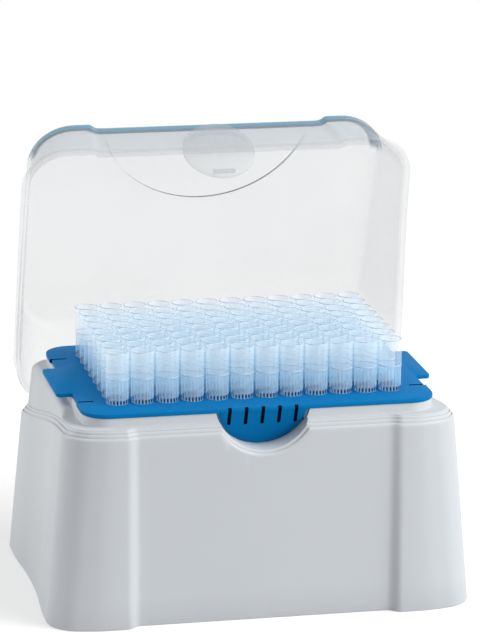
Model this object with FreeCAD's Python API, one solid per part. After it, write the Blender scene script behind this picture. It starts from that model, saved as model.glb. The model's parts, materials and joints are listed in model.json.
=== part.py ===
import FreeCAD, Part
import math
import os

from FreeCAD import Vector

# Hinged rack of pipette tips, millimetres, +Z up.
# Origin: middle of the tip grid, on the surface that the rack stands on.
# X runs along the long side, the front is at -Y and the hinge is at +Y.
# Every outline below grows from the tip grid outwards: tips, plate, collar,
# deck, outer wall and lid, so a change of one size moves what fits round it.

# ---- pipette tips ---------------------------------------------------------
PITCH = 9.0                 # spacing of the grid, and so of a multichannel pipette
COLUMNS = 12
ROWS = 8
TIP_GAP = 0.6               # between the rims of neighbouring tips
TIP_TAPER = 0.15            # the collar is this much slimmer at its foot
TIP_SHOULDER = 0.65         # collar's foot over the shank, which seats on the plate
TIP_RIM_WALL = 0.5
TIP_STAND = 18.7            # collar above the plate
TIP_SHANK_LENGTH = 66.0
TIP_END_RADIUS = 0.85
TIP_ORIFICE_RADIUS = 0.4
TIP_SIDES = 8
TIP_FLOOR_GAP = 7.7         # tip's end above the floor of the base
HOLE_CLEARANCE = 0.15

# ---- tip plate ------------------------------------------------------------
PLATE_SIDE_MARGIN = 14.2    # outer column of tips to the plate's edge
PLATE_END_MARGIN = 15.0     # front or back row of tips to the plate's edge
PLATE_CORNER = 9.5
PLATE_THICKNESS = 1.5
SIDE_TAB_REACH = 4.9        # beyond the plate's edge
SIDE_TAB_HALF = 16.7
SLIT_SPACING = 11.8         # from the side tab's corner
SLIT_LENGTH = 6.2
SLIT_WIDTH = 0.7
NOTCH_DEPTH = 0.7           # plate edge between the side tab and the slit
SKIRT_CLEARANCE = 0.4       # skirt inside the collar
SKIRT_WALL = 1.6
SKIRT_DEPTH = 8.0
SKIRT_GAP = 1.6             # skirt's end from the wall of the thumb recess

# ---- the plate's front tab and the thumb recess round it ------------------
TAB_RADIUS = 15.9
TAB_LENGTH = 15.0
TAB_TILT = 22.0             # degrees, the foot of the tab leans into the rack
TAB_SLOTS = 5
TAB_SLOT_PITCH = 6.0
TAB_SLOT_WIDTH = 1.3
TAB_SLOT_LENGTH = 6.4
RECESS_CLEARANCE = 1.5      # recess round the tab's edge
RECESS_CENTRE_RISE = 2.6    # above the plate's top
RECESS_WALL = 2.0
RECESS_BACK_CLEARANCE = 1.3  # recess behind the tab's outside

# ---- collar and deck of the base ------------------------------------------
COLLAR_INSET = 0.3          # the collar stands this far inside the plate's edge
COLLAR_WALL = 2.0
DECK_DROP = 4.4             # plate top down to the deck round the collar
DECK_SIDE_MARGIN = 0.4      # beyond the side tab
DECK_FRONT_MARGIN = 3.9     # beyond the plate
DECK_BACK_MARGIN = 0.9
SHOULDER_DRAFT = 0.09       # how fast the block under the deck widens downward
SHOULDER_ROUND = 2.6
RAMP_START = 1.0            # the deck ramps down this far in front of the side tab
RAMP_LENGTH = 12.5
RAMP_DROP = 4.0

# ---- outer wall of the base -----------------------------------------------
RIM_SIDE_MARGIN = 3.0       # deck's side to the outline where the front wall ends
RIM_FRONT_MARGIN = 2.0
FOOT_SIDE_SPREAD = 5.0      # the outline on the bench beyond the one at the rim
FOOT_FRONT_SPREAD = 2.6
CORNER_RADIUS = 12.0
PILLAR_FLAT = 10.0          # flat front of each corner pillar
PANEL_JOG = 5.5             # width of the S-shaped step beside the front panel
FOOT_PANEL_RECESS = 3.0
RIM_PANEL_RECESS = 1.6
PILLAR_SIDE_FLAT = 2.4
FOOT_WAIST = 4.5            # how far the side walls pull in between the pillars
RIM_WAIST = 1.0
BASE_WALL = 2.2
FLOOR_LIFT = 1.0            # the floor stands this high inside its foot rim
FLOOR_THICKNESS = 2.0

# ---- ledge that the lid closes on -----------------------------------------
FRONT_WALL_DROP = 7.3       # plate top down to the top of the front wall
BACK_WALL_DROP = 23.5       # the same at the back
SLOPE_FRONT_LEVEL = 6.4     # the ledge runs level this far behind the front wall
SLOPE_FRONT_REACH = 30.0    # how far the S-curve's ends run level
SLOPE_BACK_REACH = 24.0
STEP_HEIGHT = 1.4
STEP_WIDTH = 0.9
STEPS = 2

# ---- lid ------------------------------------------------------------------
LID_WALL = 1.2
LID_HEADROOM = 1.0          # between the tips and the lowest face of the lid's top
LID_SIDE_CLEARANCE = 1.1    # between the deck and the inside of the lid
LID_FRONT_MARGIN = 0.6      # the lid's front beyond the deck
LID_BACK_INSET = 1.2        # the lid's back inside the base's back wall
LID_SIDE_LEAN = 4.7         # how far each wall leans in from the rim to the top
LID_FRONT_LEAN = 5.0
LID_BACK_LEAN = 2.6
LID_RIM_CORNER = 15.0
LID_TOP_CORNER = 18.0
LID_FOLD_ROUND = 3.5
LID_PANEL_MARGIN = 0.5      # the lid's panel is this much narrower than the base's
LID_PANEL_JOG = 4.0
LID_PANEL_RECESS = 1.3
LID_SKIRT_DRAFT = 0.1
LID_RIM_CLEARANCE = 0.3
FLANGE_WIDTH = 1.6
FLANGE_THICKNESS = 1.2
ARC_MARGIN = 0.5            # the half-round's ends inside the lid's panel
ARC_CENTRE_PROUD = 3.2      # centre of the half-round in front of the lid
ARC_STEP = 1.1
TONGUE_RADIUS = 13.4
TONGUE_PROUD = 3.8          # outside of the tongue in front of the plate's edge
TONGUE_CENTRE_DROP = 0.8    # plate top down to the tongue's centre
RIB_LENGTH = 8.5
RIB_HEIGHT = 1.6
RIB_PROUD = 0.5
RIB_FOOT = 1.4              # tongue's foot up to the rib

# ---- hinge ----------------------------------------------------------------
HINGE_INSET = 2.4           # axis inside the base's back wall
HINGE_RISE = 0.5            # axis above the top of the back wall
HINGE_SIDE_INSET = 25.0     # middle of each ear from the deck's side
EAR_WIDTH = 8.0
EAR_REACH = 4.0             # ear up the outside of the lid's back
EAR_DEPTH = 0.5             # ear into the lid's hollow
KNUCKLE_RADIUS = 2.5
PIN_RADIUS = 1.25
PIN_REACH = 2.4             # each pin stub beyond its ear
PIN_CLEARANCE = 0.05
EAR_CLEARANCE = 0.4
CHEEK_WIDTH = 4.0
CHEEK_ROOF = 0.7            # material over each bore
OPEN_ANGLE = 67.0

# ---- sizes that follow: tips and plate ------------------------------------
GRID_HALF_WIDTH = (COLUMNS - 1) * PITCH / 2.0
GRID_HALF_DEPTH = (ROWS - 1) * PITCH / 2.0
TIP_RIM_RADIUS = (PITCH - TIP_GAP) / 2.0
TIP_COLLAR_RADIUS = TIP_RIM_RADIUS - TIP_TAPER
TIP_SHANK_RADIUS = TIP_COLLAR_RADIUS - TIP_SHOULDER
TIP_MOUTH_RADIUS = TIP_RIM_RADIUS - TIP_RIM_WALL
PLATE_HALF_WIDTH = GRID_HALF_WIDTH + PLATE_SIDE_MARGIN
PLATE_HALF_DEPTH = GRID_HALF_DEPTH + PLATE_END_MARGIN
SIDE_TAB_END = PLATE_HALF_WIDTH + SIDE_TAB_REACH
TAB_FOOT_Y = -PLATE_HALF_DEPTH + TAB_LENGTH * math.sin(math.radians(TAB_TILT))
RECESS_RADIUS = TAB_RADIUS + RECESS_CLEARANCE
RECESS_BACK_Y = TAB_FOOT_Y + RECESS_BACK_CLEARANCE
SKIRT_GAP_HALF = RECESS_RADIUS + RECESS_WALL + SKIRT_GAP

# ---- sizes that follow: base ----------------------------------------------
FLOOR_TOP = FLOOR_LIFT + FLOOR_THICKNESS
PLATE_TOP = FLOOR_TOP + TIP_FLOOR_GAP + TIP_SHANK_LENGTH
PLATE_UNDER = PLATE_TOP - PLATE_THICKNESS
DECK_Z = PLATE_TOP - DECK_DROP
DECK_HALF_WIDTH = SIDE_TAB_END + DECK_SIDE_MARGIN
DECK_FRONT = PLATE_HALF_DEPTH + DECK_FRONT_MARGIN
DECK_BACK = PLATE_HALF_DEPTH + DECK_BACK_MARGIN
RIM_HALF_WIDTH = DECK_HALF_WIDTH + RIM_SIDE_MARGIN
RIM_HALF_DEPTH = DECK_FRONT + RIM_FRONT_MARGIN
RIM_Z = PLATE_TOP - FRONT_WALL_DROP
BACK_RIM_Z = PLATE_TOP - BACK_WALL_DROP
FOOT_HALF_WIDTH = RIM_HALF_WIDTH + FOOT_SIDE_SPREAD
FOOT_HALF_DEPTH = RIM_HALF_DEPTH + FOOT_FRONT_SPREAD
PANEL_HALF = RIM_HALF_WIDTH - CORNER_RADIUS - PILLAR_FLAT - PANEL_JOG
PILLAR_REACH = RIM_HALF_DEPTH - CORNER_RADIUS - PILLAR_SIDE_FLAT
LEDGE_RISE = STEPS * STEP_HEIGHT
HINGE_Y = RIM_HALF_DEPTH - HINGE_INSET
HINGE_Z = BACK_RIM_Z + HINGE_RISE
HINGE_X = DECK_HALF_WIDTH - HINGE_SIDE_INSET
SLOPE_FRONT_Y = -RIM_HALF_DEPTH + SLOPE_FRONT_LEVEL
SLOPE_BACK_Y = HINGE_Y

# ---- sizes that follow: lid -----------------------------------------------
LID_TOP = PLATE_TOP + TIP_STAND + LID_HEADROOM + LID_WALL + ARC_STEP
LID_RIM_HALF_WIDTH = DECK_HALF_WIDTH + LID_SIDE_CLEARANCE + LID_WALL
LID_RIM_FRONT = DECK_FRONT + LID_FRONT_MARGIN
LID_RIM_BACK = RIM_HALF_DEPTH - LID_BACK_INSET
LID_TOP_HALF_WIDTH = LID_RIM_HALF_WIDTH - LID_SIDE_LEAN
LID_TOP_FRONT = LID_RIM_FRONT - LID_FRONT_LEAN
LID_TOP_BACK = LID_RIM_BACK - LID_BACK_LEAN
LID_PANEL_HALF = PANEL_HALF - LID_PANEL_MARGIN
ARC_RADIUS = LID_PANEL_HALF - ARC_MARGIN
ARC_CENTRE_Y = -LID_RIM_FRONT - ARC_CENTRE_PROUD
LID_LOW = BACK_RIM_Z - FLANGE_THICKNESS

BEYOND = 30.0               # how far cutting tools run past what they cut
OVERLAP = 1.0               # how far joined forms run into each other
FAR = 4.0 * FOOT_HALF_WIDTH  # side of a half-space box
NEAR_ZERO = 0.01            # when two heights count as one


def between(low, high, share):
    return low + (high - low) * share


def segment(a, b):
    return Part.LineSegment(Vector(*a), Vector(*b)).toShape()


def curve(*poles):
    bezier = Part.BezierCurve()
    bezier.setPoles([Vector(*p) for p in poles])
    return bezier.toShape()


def corner(centre_x, centre_y, radius, start, z):
    """Quarter circle, running clockwise seen from above, from the start angle."""
    points = []
    for turn in (0.0, 45.0, 90.0):
        angle = math.radians(start - turn)
        x = centre_x + radius * math.cos(angle)
        y = centre_y + radius * math.sin(angle)
        points.append(Vector(x, y, z))
    return Part.Arc(*points).toShape()


def front_line(y_flat, y_proud, panel, jog, corner_x, z):
    """Front edges from +X to -X: pillar, S-step, panel, S-step, pillar."""
    outer = panel + jog
    middle = panel + jog / 2.0
    s_right = ((outer, y_proud, z), (middle, y_proud, z), (middle, y_flat, z), (panel, y_flat, z))
    s_left = [(-x, y, height) for x, y, height in reversed(s_right)]
    return [
        segment((corner_x, y_proud, z), (outer, y_proud, z)),
        curve(*s_right),
        segment((panel, y_flat, z), (-panel, y_flat, z)),
        curve(*s_left),
        segment((-outer, y_proud, z), (-corner_x, y_proud, z)),
    ]


def side_line(x, y_from, y_to, waist, z):
    """One side: straight, or straight pillars with a smooth waist between them."""
    if waist <= 0.0:
        return [segment((x, y_from, z), (x, y_to, z))]
    reach = math.copysign(PILLAR_REACH, y_to - y_from)
    x_mid = x - math.copysign(waist, x)
    return [
        segment((x, y_from, z), (x, -reach, z)),
        curve((x, -reach, z), (x, -reach / 2.0, z), (x_mid, -reach / 2.0, z), (x_mid, 0.0, z)),
        curve((x_mid, 0.0, z), (x_mid, reach / 2.0, z), (x, reach / 2.0, z), (x, reach, z)),
        segment((x, reach, z), (x, y_to, z)),
    ]


def outline(half_width, front, back, radius, z, panel=0.0, jog=0.0, recess=0.0, waist=0.0):
    """Closed plan outline of the base, the plate or the lid at one height."""
    x_in = half_width - radius
    if recess > 0.0:
        edges = front_line(-front + recess, -front, panel, jog, x_in, z)
    else:
        edges = [segment((x_in, -front, z), (-x_in, -front, z))]
    edges.append(corner(-x_in, -front + radius, radius, 270.0, z))
    edges += side_line(-half_width, -front + radius, back - radius, waist, z)
    edges.append(corner(-x_in, back - radius, radius, 180.0, z))
    edges.append(segment((-x_in, back, z), (x_in, back, z)))
    edges.append(corner(x_in, back - radius, radius, 90.0, z))
    edges += side_line(half_width, back - radius, -front + radius, waist, z)
    edges.append(corner(x_in, -front + radius, radius, 0.0, z))
    return Part.Wire(edges)


def loft(*wires):
    return Part.makeLoft(list(wires), True, True)


def plan_prism(wire, height):
    return Part.Face(wire).extrude(Vector(0, 0, height))


def box(x0, x1, y0, y1, z0, z1):
    """Box between two corners, given in either order along each axis."""
    low = Vector(min(x0, x1), min(y0, y1), min(z0, z1))
    return Part.makeBox(abs(x1 - x0), abs(y1 - y0), abs(z1 - z0), low)


def cylinder_y(radius, y_start, length, z):
    return Part.makeCylinder(radius, length, Vector(0, y_start, z), Vector(0, 1, 0))


def cylinder_x(radius, x_start, length):
    return Part.makeCylinder(radius, length, Vector(x_start, HINGE_Y, HINGE_Z), Vector(1, 0, 0))


def fuse(shapes):
    return shapes[0].fuse(shapes[1:]).removeSplitter()


def above_ledge(rise):
    """Everything above the ledge line raised by the given height."""
    z_front = RIM_Z + rise
    z_back = BACK_RIM_Z + rise
    y_front = -FOOT_HALF_DEPTH - BEYOND
    y_back = FOOT_HALF_DEPTH + BEYOND
    top = LID_TOP + BEYOND
    x = -FOOT_HALF_WIDTH - BEYOND
    slope = (
        (x, SLOPE_FRONT_Y, z_front),
        (x, SLOPE_FRONT_Y + SLOPE_FRONT_REACH, z_front),
        (x, SLOPE_BACK_Y - SLOPE_BACK_REACH, z_back),
        (x, SLOPE_BACK_Y, z_back),
    )
    edges = [
        segment((x, y_front, z_front), slope[0]),
        curve(*slope),
        segment(slope[-1], (x, y_back, z_back)),
        segment((x, y_back, z_back), (x, y_back, top)),
        segment((x, y_back, top), (x, y_front, top)),
        segment((x, y_front, top), (x, y_front, z_front)),
    ]
    return Part.Face(Part.Wire(edges)).extrude(Vector(-2.0 * x, 0, 0))


def base_outline(z, inset):
    """Outline of the outer wall, which tapers from the bench to the rim."""
    level = z / RIM_Z
    depth = between(FOOT_HALF_DEPTH, RIM_HALF_DEPTH, level) - inset
    return outline(
        between(FOOT_HALF_WIDTH, RIM_HALF_WIDTH, level) - inset,
        depth,
        depth,
        CORNER_RADIUS - inset,
        z,
        PANEL_HALF,
        PANEL_JOG,
        between(FOOT_PANEL_RECESS, RIM_PANEL_RECESS, level),
        between(FOOT_WAIST, RIM_WAIST, level),
    )


def deck_outline(z, inset):
    """Outline of the block under the deck, which widens as it goes down."""
    grow = (DECK_Z - z) * SHOULDER_DRAFT - inset
    radius = CORNER_RADIUS - inset
    return outline(DECK_HALF_WIDTH + grow, DECK_FRONT - inset, DECK_BACK + grow, radius, z)


def collar_outline(inset, z):
    gap = COLLAR_INSET + inset
    depth = PLATE_HALF_DEPTH - gap
    return outline(PLATE_HALF_WIDTH - gap, depth, depth, PLATE_CORNER - gap, z)


def stepped_wall():
    """Outer wall whose top edge steps up to the ledge in small beads."""
    top = PLATE_TOP
    rings = []
    for step in range(STEPS + 1):
        inset = step * STEP_WIDTH
        wall = loft(base_outline(0.0, inset), base_outline(top, inset))
        rings.append(wall.cut(above_ledge(step * STEP_HEIGHT)))
    return fuse(rings)


def deck_block():
    low = BACK_RIM_Z - STEP_HEIGHT
    block = loft(deck_outline(low, 0.0), deck_outline(DECK_Z, 0.0))
    rounded = []
    for edge in block.Edges:
        ends = [v.Point for v in edge.Vertexes]
        on_top = all(abs(p.z - DECK_Z) < NEAR_ZERO for p in ends)
        at_front = all(p.y < -DECK_FRONT + NEAR_ZERO for p in ends)
        if on_top and not at_front:
            rounded.append(edge)
    return block.makeFillet(SHOULDER_ROUND, rounded)


def corner_ramps():
    """The deck's front corners ramp down from the side tabs to the ledge."""
    y_top = -SIDE_TAB_HALF - RAMP_START
    y_low = y_top - RAMP_LENGTH
    y_middle = (y_top + y_low) / 2.0
    y_front = -FOOT_HALF_DEPTH
    z_low = DECK_Z - RAMP_DROP
    x = -FOOT_HALF_WIDTH
    edges = [
        curve((x, y_top, DECK_Z), (x, y_middle, DECK_Z), (x, y_middle, z_low), (x, y_low, z_low)),
        segment((x, y_low, z_low), (x, y_front, z_low)),
        segment((x, y_front, z_low), (x, y_front, LID_TOP)),
        segment((x, y_front, LID_TOP), (x, y_top, LID_TOP)),
        segment((x, y_top, LID_TOP), (x, y_top, DECK_Z)),
    ]
    wedge = Part.Face(Part.Wire(edges)).extrude(Vector(2.0 * FOOT_HALF_WIDTH, 0, 0))
    ramps = wedge.common(above_ledge(LEDGE_RISE))
    return ramps.cut(plan_prism(collar_outline(0.0, 0.0), LID_TOP))


def hinge_cheeks():
    """Blocks inside the back wall that carry the pin stubs."""
    half_gap = EAR_WIDTH / 2.0 + EAR_CLEARANCE
    roof = HINGE_Z + PIN_RADIUS + PIN_CLEARANCE + CHEEK_ROOF
    low = HINGE_Z - 2.0 * KNUCKLE_RADIUS
    y_out = HINGE_Y + PIN_RADIUS
    y_in = HINGE_Y - KNUCKLE_RADIUS - PIN_RADIUS
    cheeks = []
    for side in (-1, 1):
        for hand in (-1, 1):
            near = side * HINGE_X + hand * half_gap
            cheeks.append(box(near, near + hand * CHEEK_WIDTH, y_in, y_out, low, roof))
    return cheeks


def hinge_cuts():
    """The pocket that each ear turns in and the bores for its pin stubs."""
    half_gap = EAR_WIDTH / 2.0 + EAR_CLEARANCE
    turn = math.hypot(KNUCKLE_RADIUS, KNUCKLE_RADIUS) + EAR_CLEARANCE
    stub = half_gap + PIN_REACH + PIN_CLEARANCE
    y_in = HINGE_Y - turn
    y_out = HINGE_Y + BEYOND
    cuts = []
    for side in (-1, 1):
        x = side * HINGE_X
        cuts.append(box(x - half_gap, x + half_gap, y_in, y_out, HINGE_Z - turn, HINGE_Z + turn))
        cuts.append(cylinder_x(PIN_RADIUS + PIN_CLEARANCE, x - stub, 2.0 * stub))
    return cuts


def recess_scoop():
    """Half-round wall of the thumb recess, from the front panel to the plate's skirt."""
    y_front = -RIM_HALF_DEPTH + RIM_PANEL_RECESS + NEAR_ZERO
    z = PLATE_TOP + RECESS_CENTRE_RISE
    scoop = cylinder_y(RECESS_RADIUS + RECESS_WALL, y_front, RECESS_BACK_Y - y_front, z)
    return scoop.common(box(-FAR, FAR, -FAR, 0.0, 0.0, DECK_Z))


def recess_cut():
    y_front = -FOOT_HALF_DEPTH - BEYOND
    length = RECESS_BACK_Y + OVERLAP - y_front
    return cylinder_y(RECESS_RADIUS, y_front, length, PLATE_TOP + RECESS_CENTRE_RISE)


def cavity():
    """Room for the tips, one wall inside both the outer wall and the block under the deck."""
    low = BACK_RIM_Z - BASE_WALL
    ceiling = DECK_Z - BASE_WALL
    wide = loft(base_outline(FLOOR_TOP, BASE_WALL), base_outline(ceiling, BASE_WALL))
    narrow = loft(deck_outline(low, BASE_WALL), deck_outline(ceiling, BASE_WALL))
    return [wide.cut(above_ledge(-BASE_WALL)), narrow]


def make_base():
    ceiling = DECK_Z - BASE_WALL
    outside = fuse([stepped_wall(), deck_block()]).cut(corner_ramps())
    collar = plan_prism(collar_outline(0.0, ceiling), PLATE_UNDER - ceiling)
    under = loft(base_outline(0.0, BASE_WALL), base_outline(FLOOR_LIFT, BASE_WALL))
    well = plan_prism(collar_outline(COLLAR_WALL, ceiling - OVERLAP), PLATE_TOP - ceiling + OVERLAP)
    body = fuse([outside, collar]).cut(cavity() + [well, under])
    body = fuse([body, recess_scoop()] + hinge_cheeks())
    return body.cut([recess_cut()] + hinge_cuts())


def tab_frame(shape):
    """Turns a shape drawn on the upright plane Y = 0 to lie on the tab's face."""
    shape.rotate(Vector(0, 0, 0), Vector(1, 0, 0), TAB_TILT)
    shape.translate(Vector(0, -PLATE_HALF_DEPTH, PLATE_UNDER + PLATE_THICKNESS / 2.0))
    return shape


def front_tab():
    disc = cylinder_y(TAB_RADIUS, 0.0, PLATE_THICKNESS, TAB_RADIUS - TAB_LENGTH)
    half = box(-TAB_RADIUS, TAB_RADIUS, -OVERLAP, PLATE_THICKNESS + OVERLAP, -2.0 * TAB_RADIUS, 0.0)
    return tab_frame(disc.common(half))


def front_tab_slots():
    slots = []
    for i in range(TAB_SLOTS):
        x = (i - (TAB_SLOTS - 1) / 2.0) * TAB_SLOT_PITCH
        x0 = x - TAB_SLOT_WIDTH / 2.0
        x1 = x + TAB_SLOT_WIDTH / 2.0
        slot = box(x0, x1, -PLATE_THICKNESS, 2.0 * PLATE_THICKNESS, -TAB_SLOT_LENGTH, PLATE_THICKNESS)
        slots.append(tab_frame(slot))
    return slots


def polygon_points(radius, z):
    points = []
    for i in range(TIP_SIDES):
        angle = 2.0 * math.pi * (i + 0.5) / TIP_SIDES
        points.append(Vector(radius * math.cos(angle), radius * math.sin(angle), z))
    return points


def closed(points):
    return Part.makePolygon(points + points[:1])


def tapered(low, high):
    """Solid with flat sides between two rings of points."""
    faces = [Part.Face(closed(low)), Part.Face(closed(high))]
    for i in range(len(low)):
        j = (i + 1) % len(low)
        faces.append(Part.Face(closed([low[i], low[j], high[j], high[i]])))
    shell = Part.Compound(faces)
    shell.sewShape()
    solid = Part.Solid(shell.Shells[0])
    if solid.Volume < 0.0:
        solid.reverse()
    return solid


def grid():
    for column in range(COLUMNS):
        for row in range(ROWS):
            x = column * PITCH - GRID_HALF_WIDTH
            y = row * PITCH - GRID_HALF_DEPTH
            yield column, x, y


def plate_sheet():
    edge = outline(PLATE_HALF_WIDTH, PLATE_HALF_DEPTH, PLATE_HALF_DEPTH, PLATE_CORNER, PLATE_UNDER)
    return plan_prism(edge, PLATE_THICKNESS)


def plate_skirt():
    """Wall under the plate that locates it inside the collar, open at the front tab."""
    inset = COLLAR_WALL + SKIRT_CLEARANCE
    low = PLATE_UNDER - SKIRT_DEPTH
    skirt = plan_prism(collar_outline(inset, low), SKIRT_DEPTH)
    skirt = skirt.cut(plan_prism(collar_outline(inset + SKIRT_WALL, low), SKIRT_DEPTH))
    return skirt.cut(box(-SKIRT_GAP_HALF, SKIRT_GAP_HALF, -PLATE_HALF_DEPTH, 0.0, low, PLATE_UNDER))


def plate_edge_cuts():
    """Notches and slits on both sides of each side tab."""
    slit_y = SIDE_TAB_HALF + SLIT_SPACING
    cuts = []
    for side in (-1, 1):
        x_notch = side * (PLATE_HALF_WIDTH - NOTCH_DEPTH)
        x_slit = side * (PLATE_HALF_WIDTH - SLIT_LENGTH)
        x_out = side * (SIDE_TAB_END + OVERLAP)
        for hand in (-1, 1):
            y = hand * slit_y
            cuts.append(box(x_notch, x_out, hand * SIDE_TAB_HALF, y, PLATE_UNDER, PLATE_TOP))
            y0 = y - SLIT_WIDTH / 2.0
            y1 = y + SLIT_WIDTH / 2.0
            cuts.append(box(x_slit, x_out, y0, y1, PLATE_UNDER, PLATE_TOP))
    return cuts


def make_plate():
    tabs = box(-SIDE_TAB_END, SIDE_TAB_END, -SIDE_TAB_HALF, SIDE_TAB_HALF, PLATE_UNDER, PLATE_TOP)
    rim = closed(polygon_points(TIP_SHANK_RADIUS + HOLE_CLEARANCE, PLATE_UNDER - OVERLAP))
    hole = plan_prism(rim, PLATE_THICKNESS + 2.0 * OVERLAP)
    holes = [hole.translated(Vector(x, y, 0)) for _, x, y in grid()]
    plate = fuse([plate_sheet(), plate_skirt(), tabs, front_tab()])
    return plate.cut(plate_edge_cuts() + front_tab_slots() + holes)


def make_tip():
    """One tip, with its shoulder on the plate and its bore open at both ends."""
    end_z = PLATE_TOP - TIP_SHANK_LENGTH
    rim_z = PLATE_TOP + TIP_STAND
    collar = tapered(polygon_points(TIP_COLLAR_RADIUS, PLATE_TOP), polygon_points(TIP_RIM_RADIUS, rim_z))
    shank = tapered(polygon_points(TIP_END_RADIUS, end_z), polygon_points(TIP_SHANK_RADIUS, PLATE_TOP))
    bore = tapered(polygon_points(TIP_ORIFICE_RADIUS, end_z), polygon_points(TIP_MOUTH_RADIUS, rim_z))
    return fuse([collar, shank]).cut(bore)


def lid_outline(z, inset):
    """Plan outline of the closed lid; the walls lean in towards the top."""
    level = (z - DECK_Z) / (LID_TOP - DECK_Z)
    return outline(
        between(LID_RIM_HALF_WIDTH, LID_TOP_HALF_WIDTH, level) - inset,
        between(LID_RIM_FRONT, LID_TOP_FRONT, level) - inset,
        between(LID_RIM_BACK, LID_TOP_BACK, level) - inset,
        between(LID_RIM_CORNER, LID_TOP_CORNER, level) - inset,
        z,
        LID_PANEL_HALF,
        LID_PANEL_JOG,
        LID_PANEL_RECESS,
    )


def lid_skirt_outline(z, inset):
    """Below the deck the lid's sides carry on almost upright."""
    return outline(
        LID_RIM_HALF_WIDTH + (DECK_Z - z) * LID_SKIRT_DRAFT - inset,
        LID_RIM_FRONT - inset,
        LID_RIM_BACK - inset,
        LID_RIM_CORNER - inset,
        z,
        LID_PANEL_HALF,
        LID_PANEL_JOG,
        LID_PANEL_RECESS,
    )


def lid_block(inset):
    """Solid of the closed lid's outside, or of its inside when inset."""
    top = LID_TOP - inset
    upper = loft(lid_outline(DECK_Z, inset), lid_outline(top, inset))
    fold = [e for e in upper.Edges if all(abs(v.Point.z - top) < NEAR_ZERO for v in e.Vertexes)]
    upper = upper.makeFillet(LID_FOLD_ROUND - inset, fold)
    lower = loft(lid_skirt_outline(LID_LOW, inset), lid_skirt_outline(DECK_Z, inset))
    centre = Vector(0, ARC_CENTRE_Y, top - ARC_STEP)
    arc = Part.makeCylinder(ARC_RADIUS + inset, BEYOND, centre, Vector(0, 0, 1))
    return fuse([upper, lower]).cut(arc)


def flange():
    """Rim round the lid's front and sides, standing out over the ledge beads."""
    ring = loft(lid_skirt_outline(LID_LOW, -FLANGE_WIDTH), lid_skirt_outline(LID_TOP, -FLANGE_WIDTH))
    ring = ring.cut(above_ledge(LEDGE_RISE + LID_RIM_CLEARANCE + FLANGE_THICKNESS))
    return ring.cut(box(-FAR, FAR, HINGE_Y - LID_RIM_CORNER, FAR, 0.0, FAR))


def tongue(radius, depth, thickness):
    """Round thumb plate in front of the recess, set back from its outside by depth."""
    y_outside = -PLATE_HALF_DEPTH - TONGUE_PROUD
    return cylinder_y(radius, y_outside + depth, thickness, PLATE_TOP - TONGUE_CENTRE_DROP)


def grip_rib():
    """Small rib on the outside of the tongue, near its foot."""
    y_outside = -PLATE_HALF_DEPTH - TONGUE_PROUD
    low = PLATE_TOP - TONGUE_CENTRE_DROP - TONGUE_RADIUS + RIB_FOOT
    half = RIB_LENGTH / 2.0
    return box(-half, half, y_outside - RIB_PROUD, y_outside + LID_WALL / 2.0, low, low + RIB_HEIGHT)


def hinge_ears():
    ears = []
    top = BACK_RIM_Z + LEDGE_RISE + LID_RIM_CLEARANCE + EAR_REACH
    y_in = LID_RIM_BACK - LID_WALL - EAR_DEPTH
    for side in (-1, 1):
        x = side * HINGE_X - EAR_WIDTH / 2.0
        ears.append(cylinder_x(KNUCKLE_RADIUS, x, EAR_WIDTH))
        ears.append(box(x, x + EAR_WIDTH, y_in, LID_RIM_BACK, HINGE_Z, top))
        ears.append(cylinder_x(PIN_RADIUS, x - PIN_REACH, EAR_WIDTH + 2.0 * PIN_REACH))
    return ears


def make_lid():
    """The lid is built closed and then turned back about the hinge to its stop."""
    y_boss = -LID_TOP_FRONT + LID_WALL
    thumb = tongue(TONGUE_RADIUS, 0.0, 2.0 * TONGUE_RADIUS)
    thumb = thumb.common(box(-FAR, FAR, -FAR, y_boss, DECK_Z, LID_TOP))
    hollow = tongue(TONGUE_RADIUS - LID_WALL, LID_WALL, 2.0 * TONGUE_RADIUS)
    hollow = hollow.common(box(-FAR, FAR, -FAR, y_boss + LID_WALL, 0.0, LID_TOP))
    shell = fuse([lid_block(0.0), flange(), thumb]).cut([lid_block(LID_WALL), hollow])
    shell = shell.common(above_ledge(LEDGE_RISE + LID_RIM_CLEARANCE))
    lid = fuse([shell, tongue(TONGUE_RADIUS, 0.0, LID_WALL), grip_rib()] + hinge_ears())
    lid.rotate(Vector(0, HINGE_Y, HINGE_Z), Vector(1, 0, 0), -OPEN_ANGLE)
    return lid


def export(shape, name):
    shape.exportStep(os.path.join("parts", name + ".step"))
    print(name, "solids", len(shape.Solids), "valid", shape.isValid(), "volume", round(shape.Volume, 1))


def main():
    os.makedirs("parts", exist_ok=True)
    export(make_base(), "base")
    export(make_plate(), "tip_plate")
    export(make_lid(), "lid")
    tip = make_tip()
    columns = [[] for _ in range(COLUMNS)]
    for column, x, y in grid():
        columns[column].append(tip.translated(Vector(x, y, 0)))
    for number, tips in enumerate(columns, start=1):
        export(Part.Compound(tips), "tips_column_%02d" % number)


if __name__ == "__main__":
    main()
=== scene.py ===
"""Looks of a hinged rack of pipette tips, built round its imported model."""

import json
import logging
import math
from dataclasses import dataclass, replace
from enum import Enum, IntEnum
from typing import Iterable, Sequence, Union

import bmesh
import bpy
import numpy as np
from mathutils import Matrix, Vector

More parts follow.
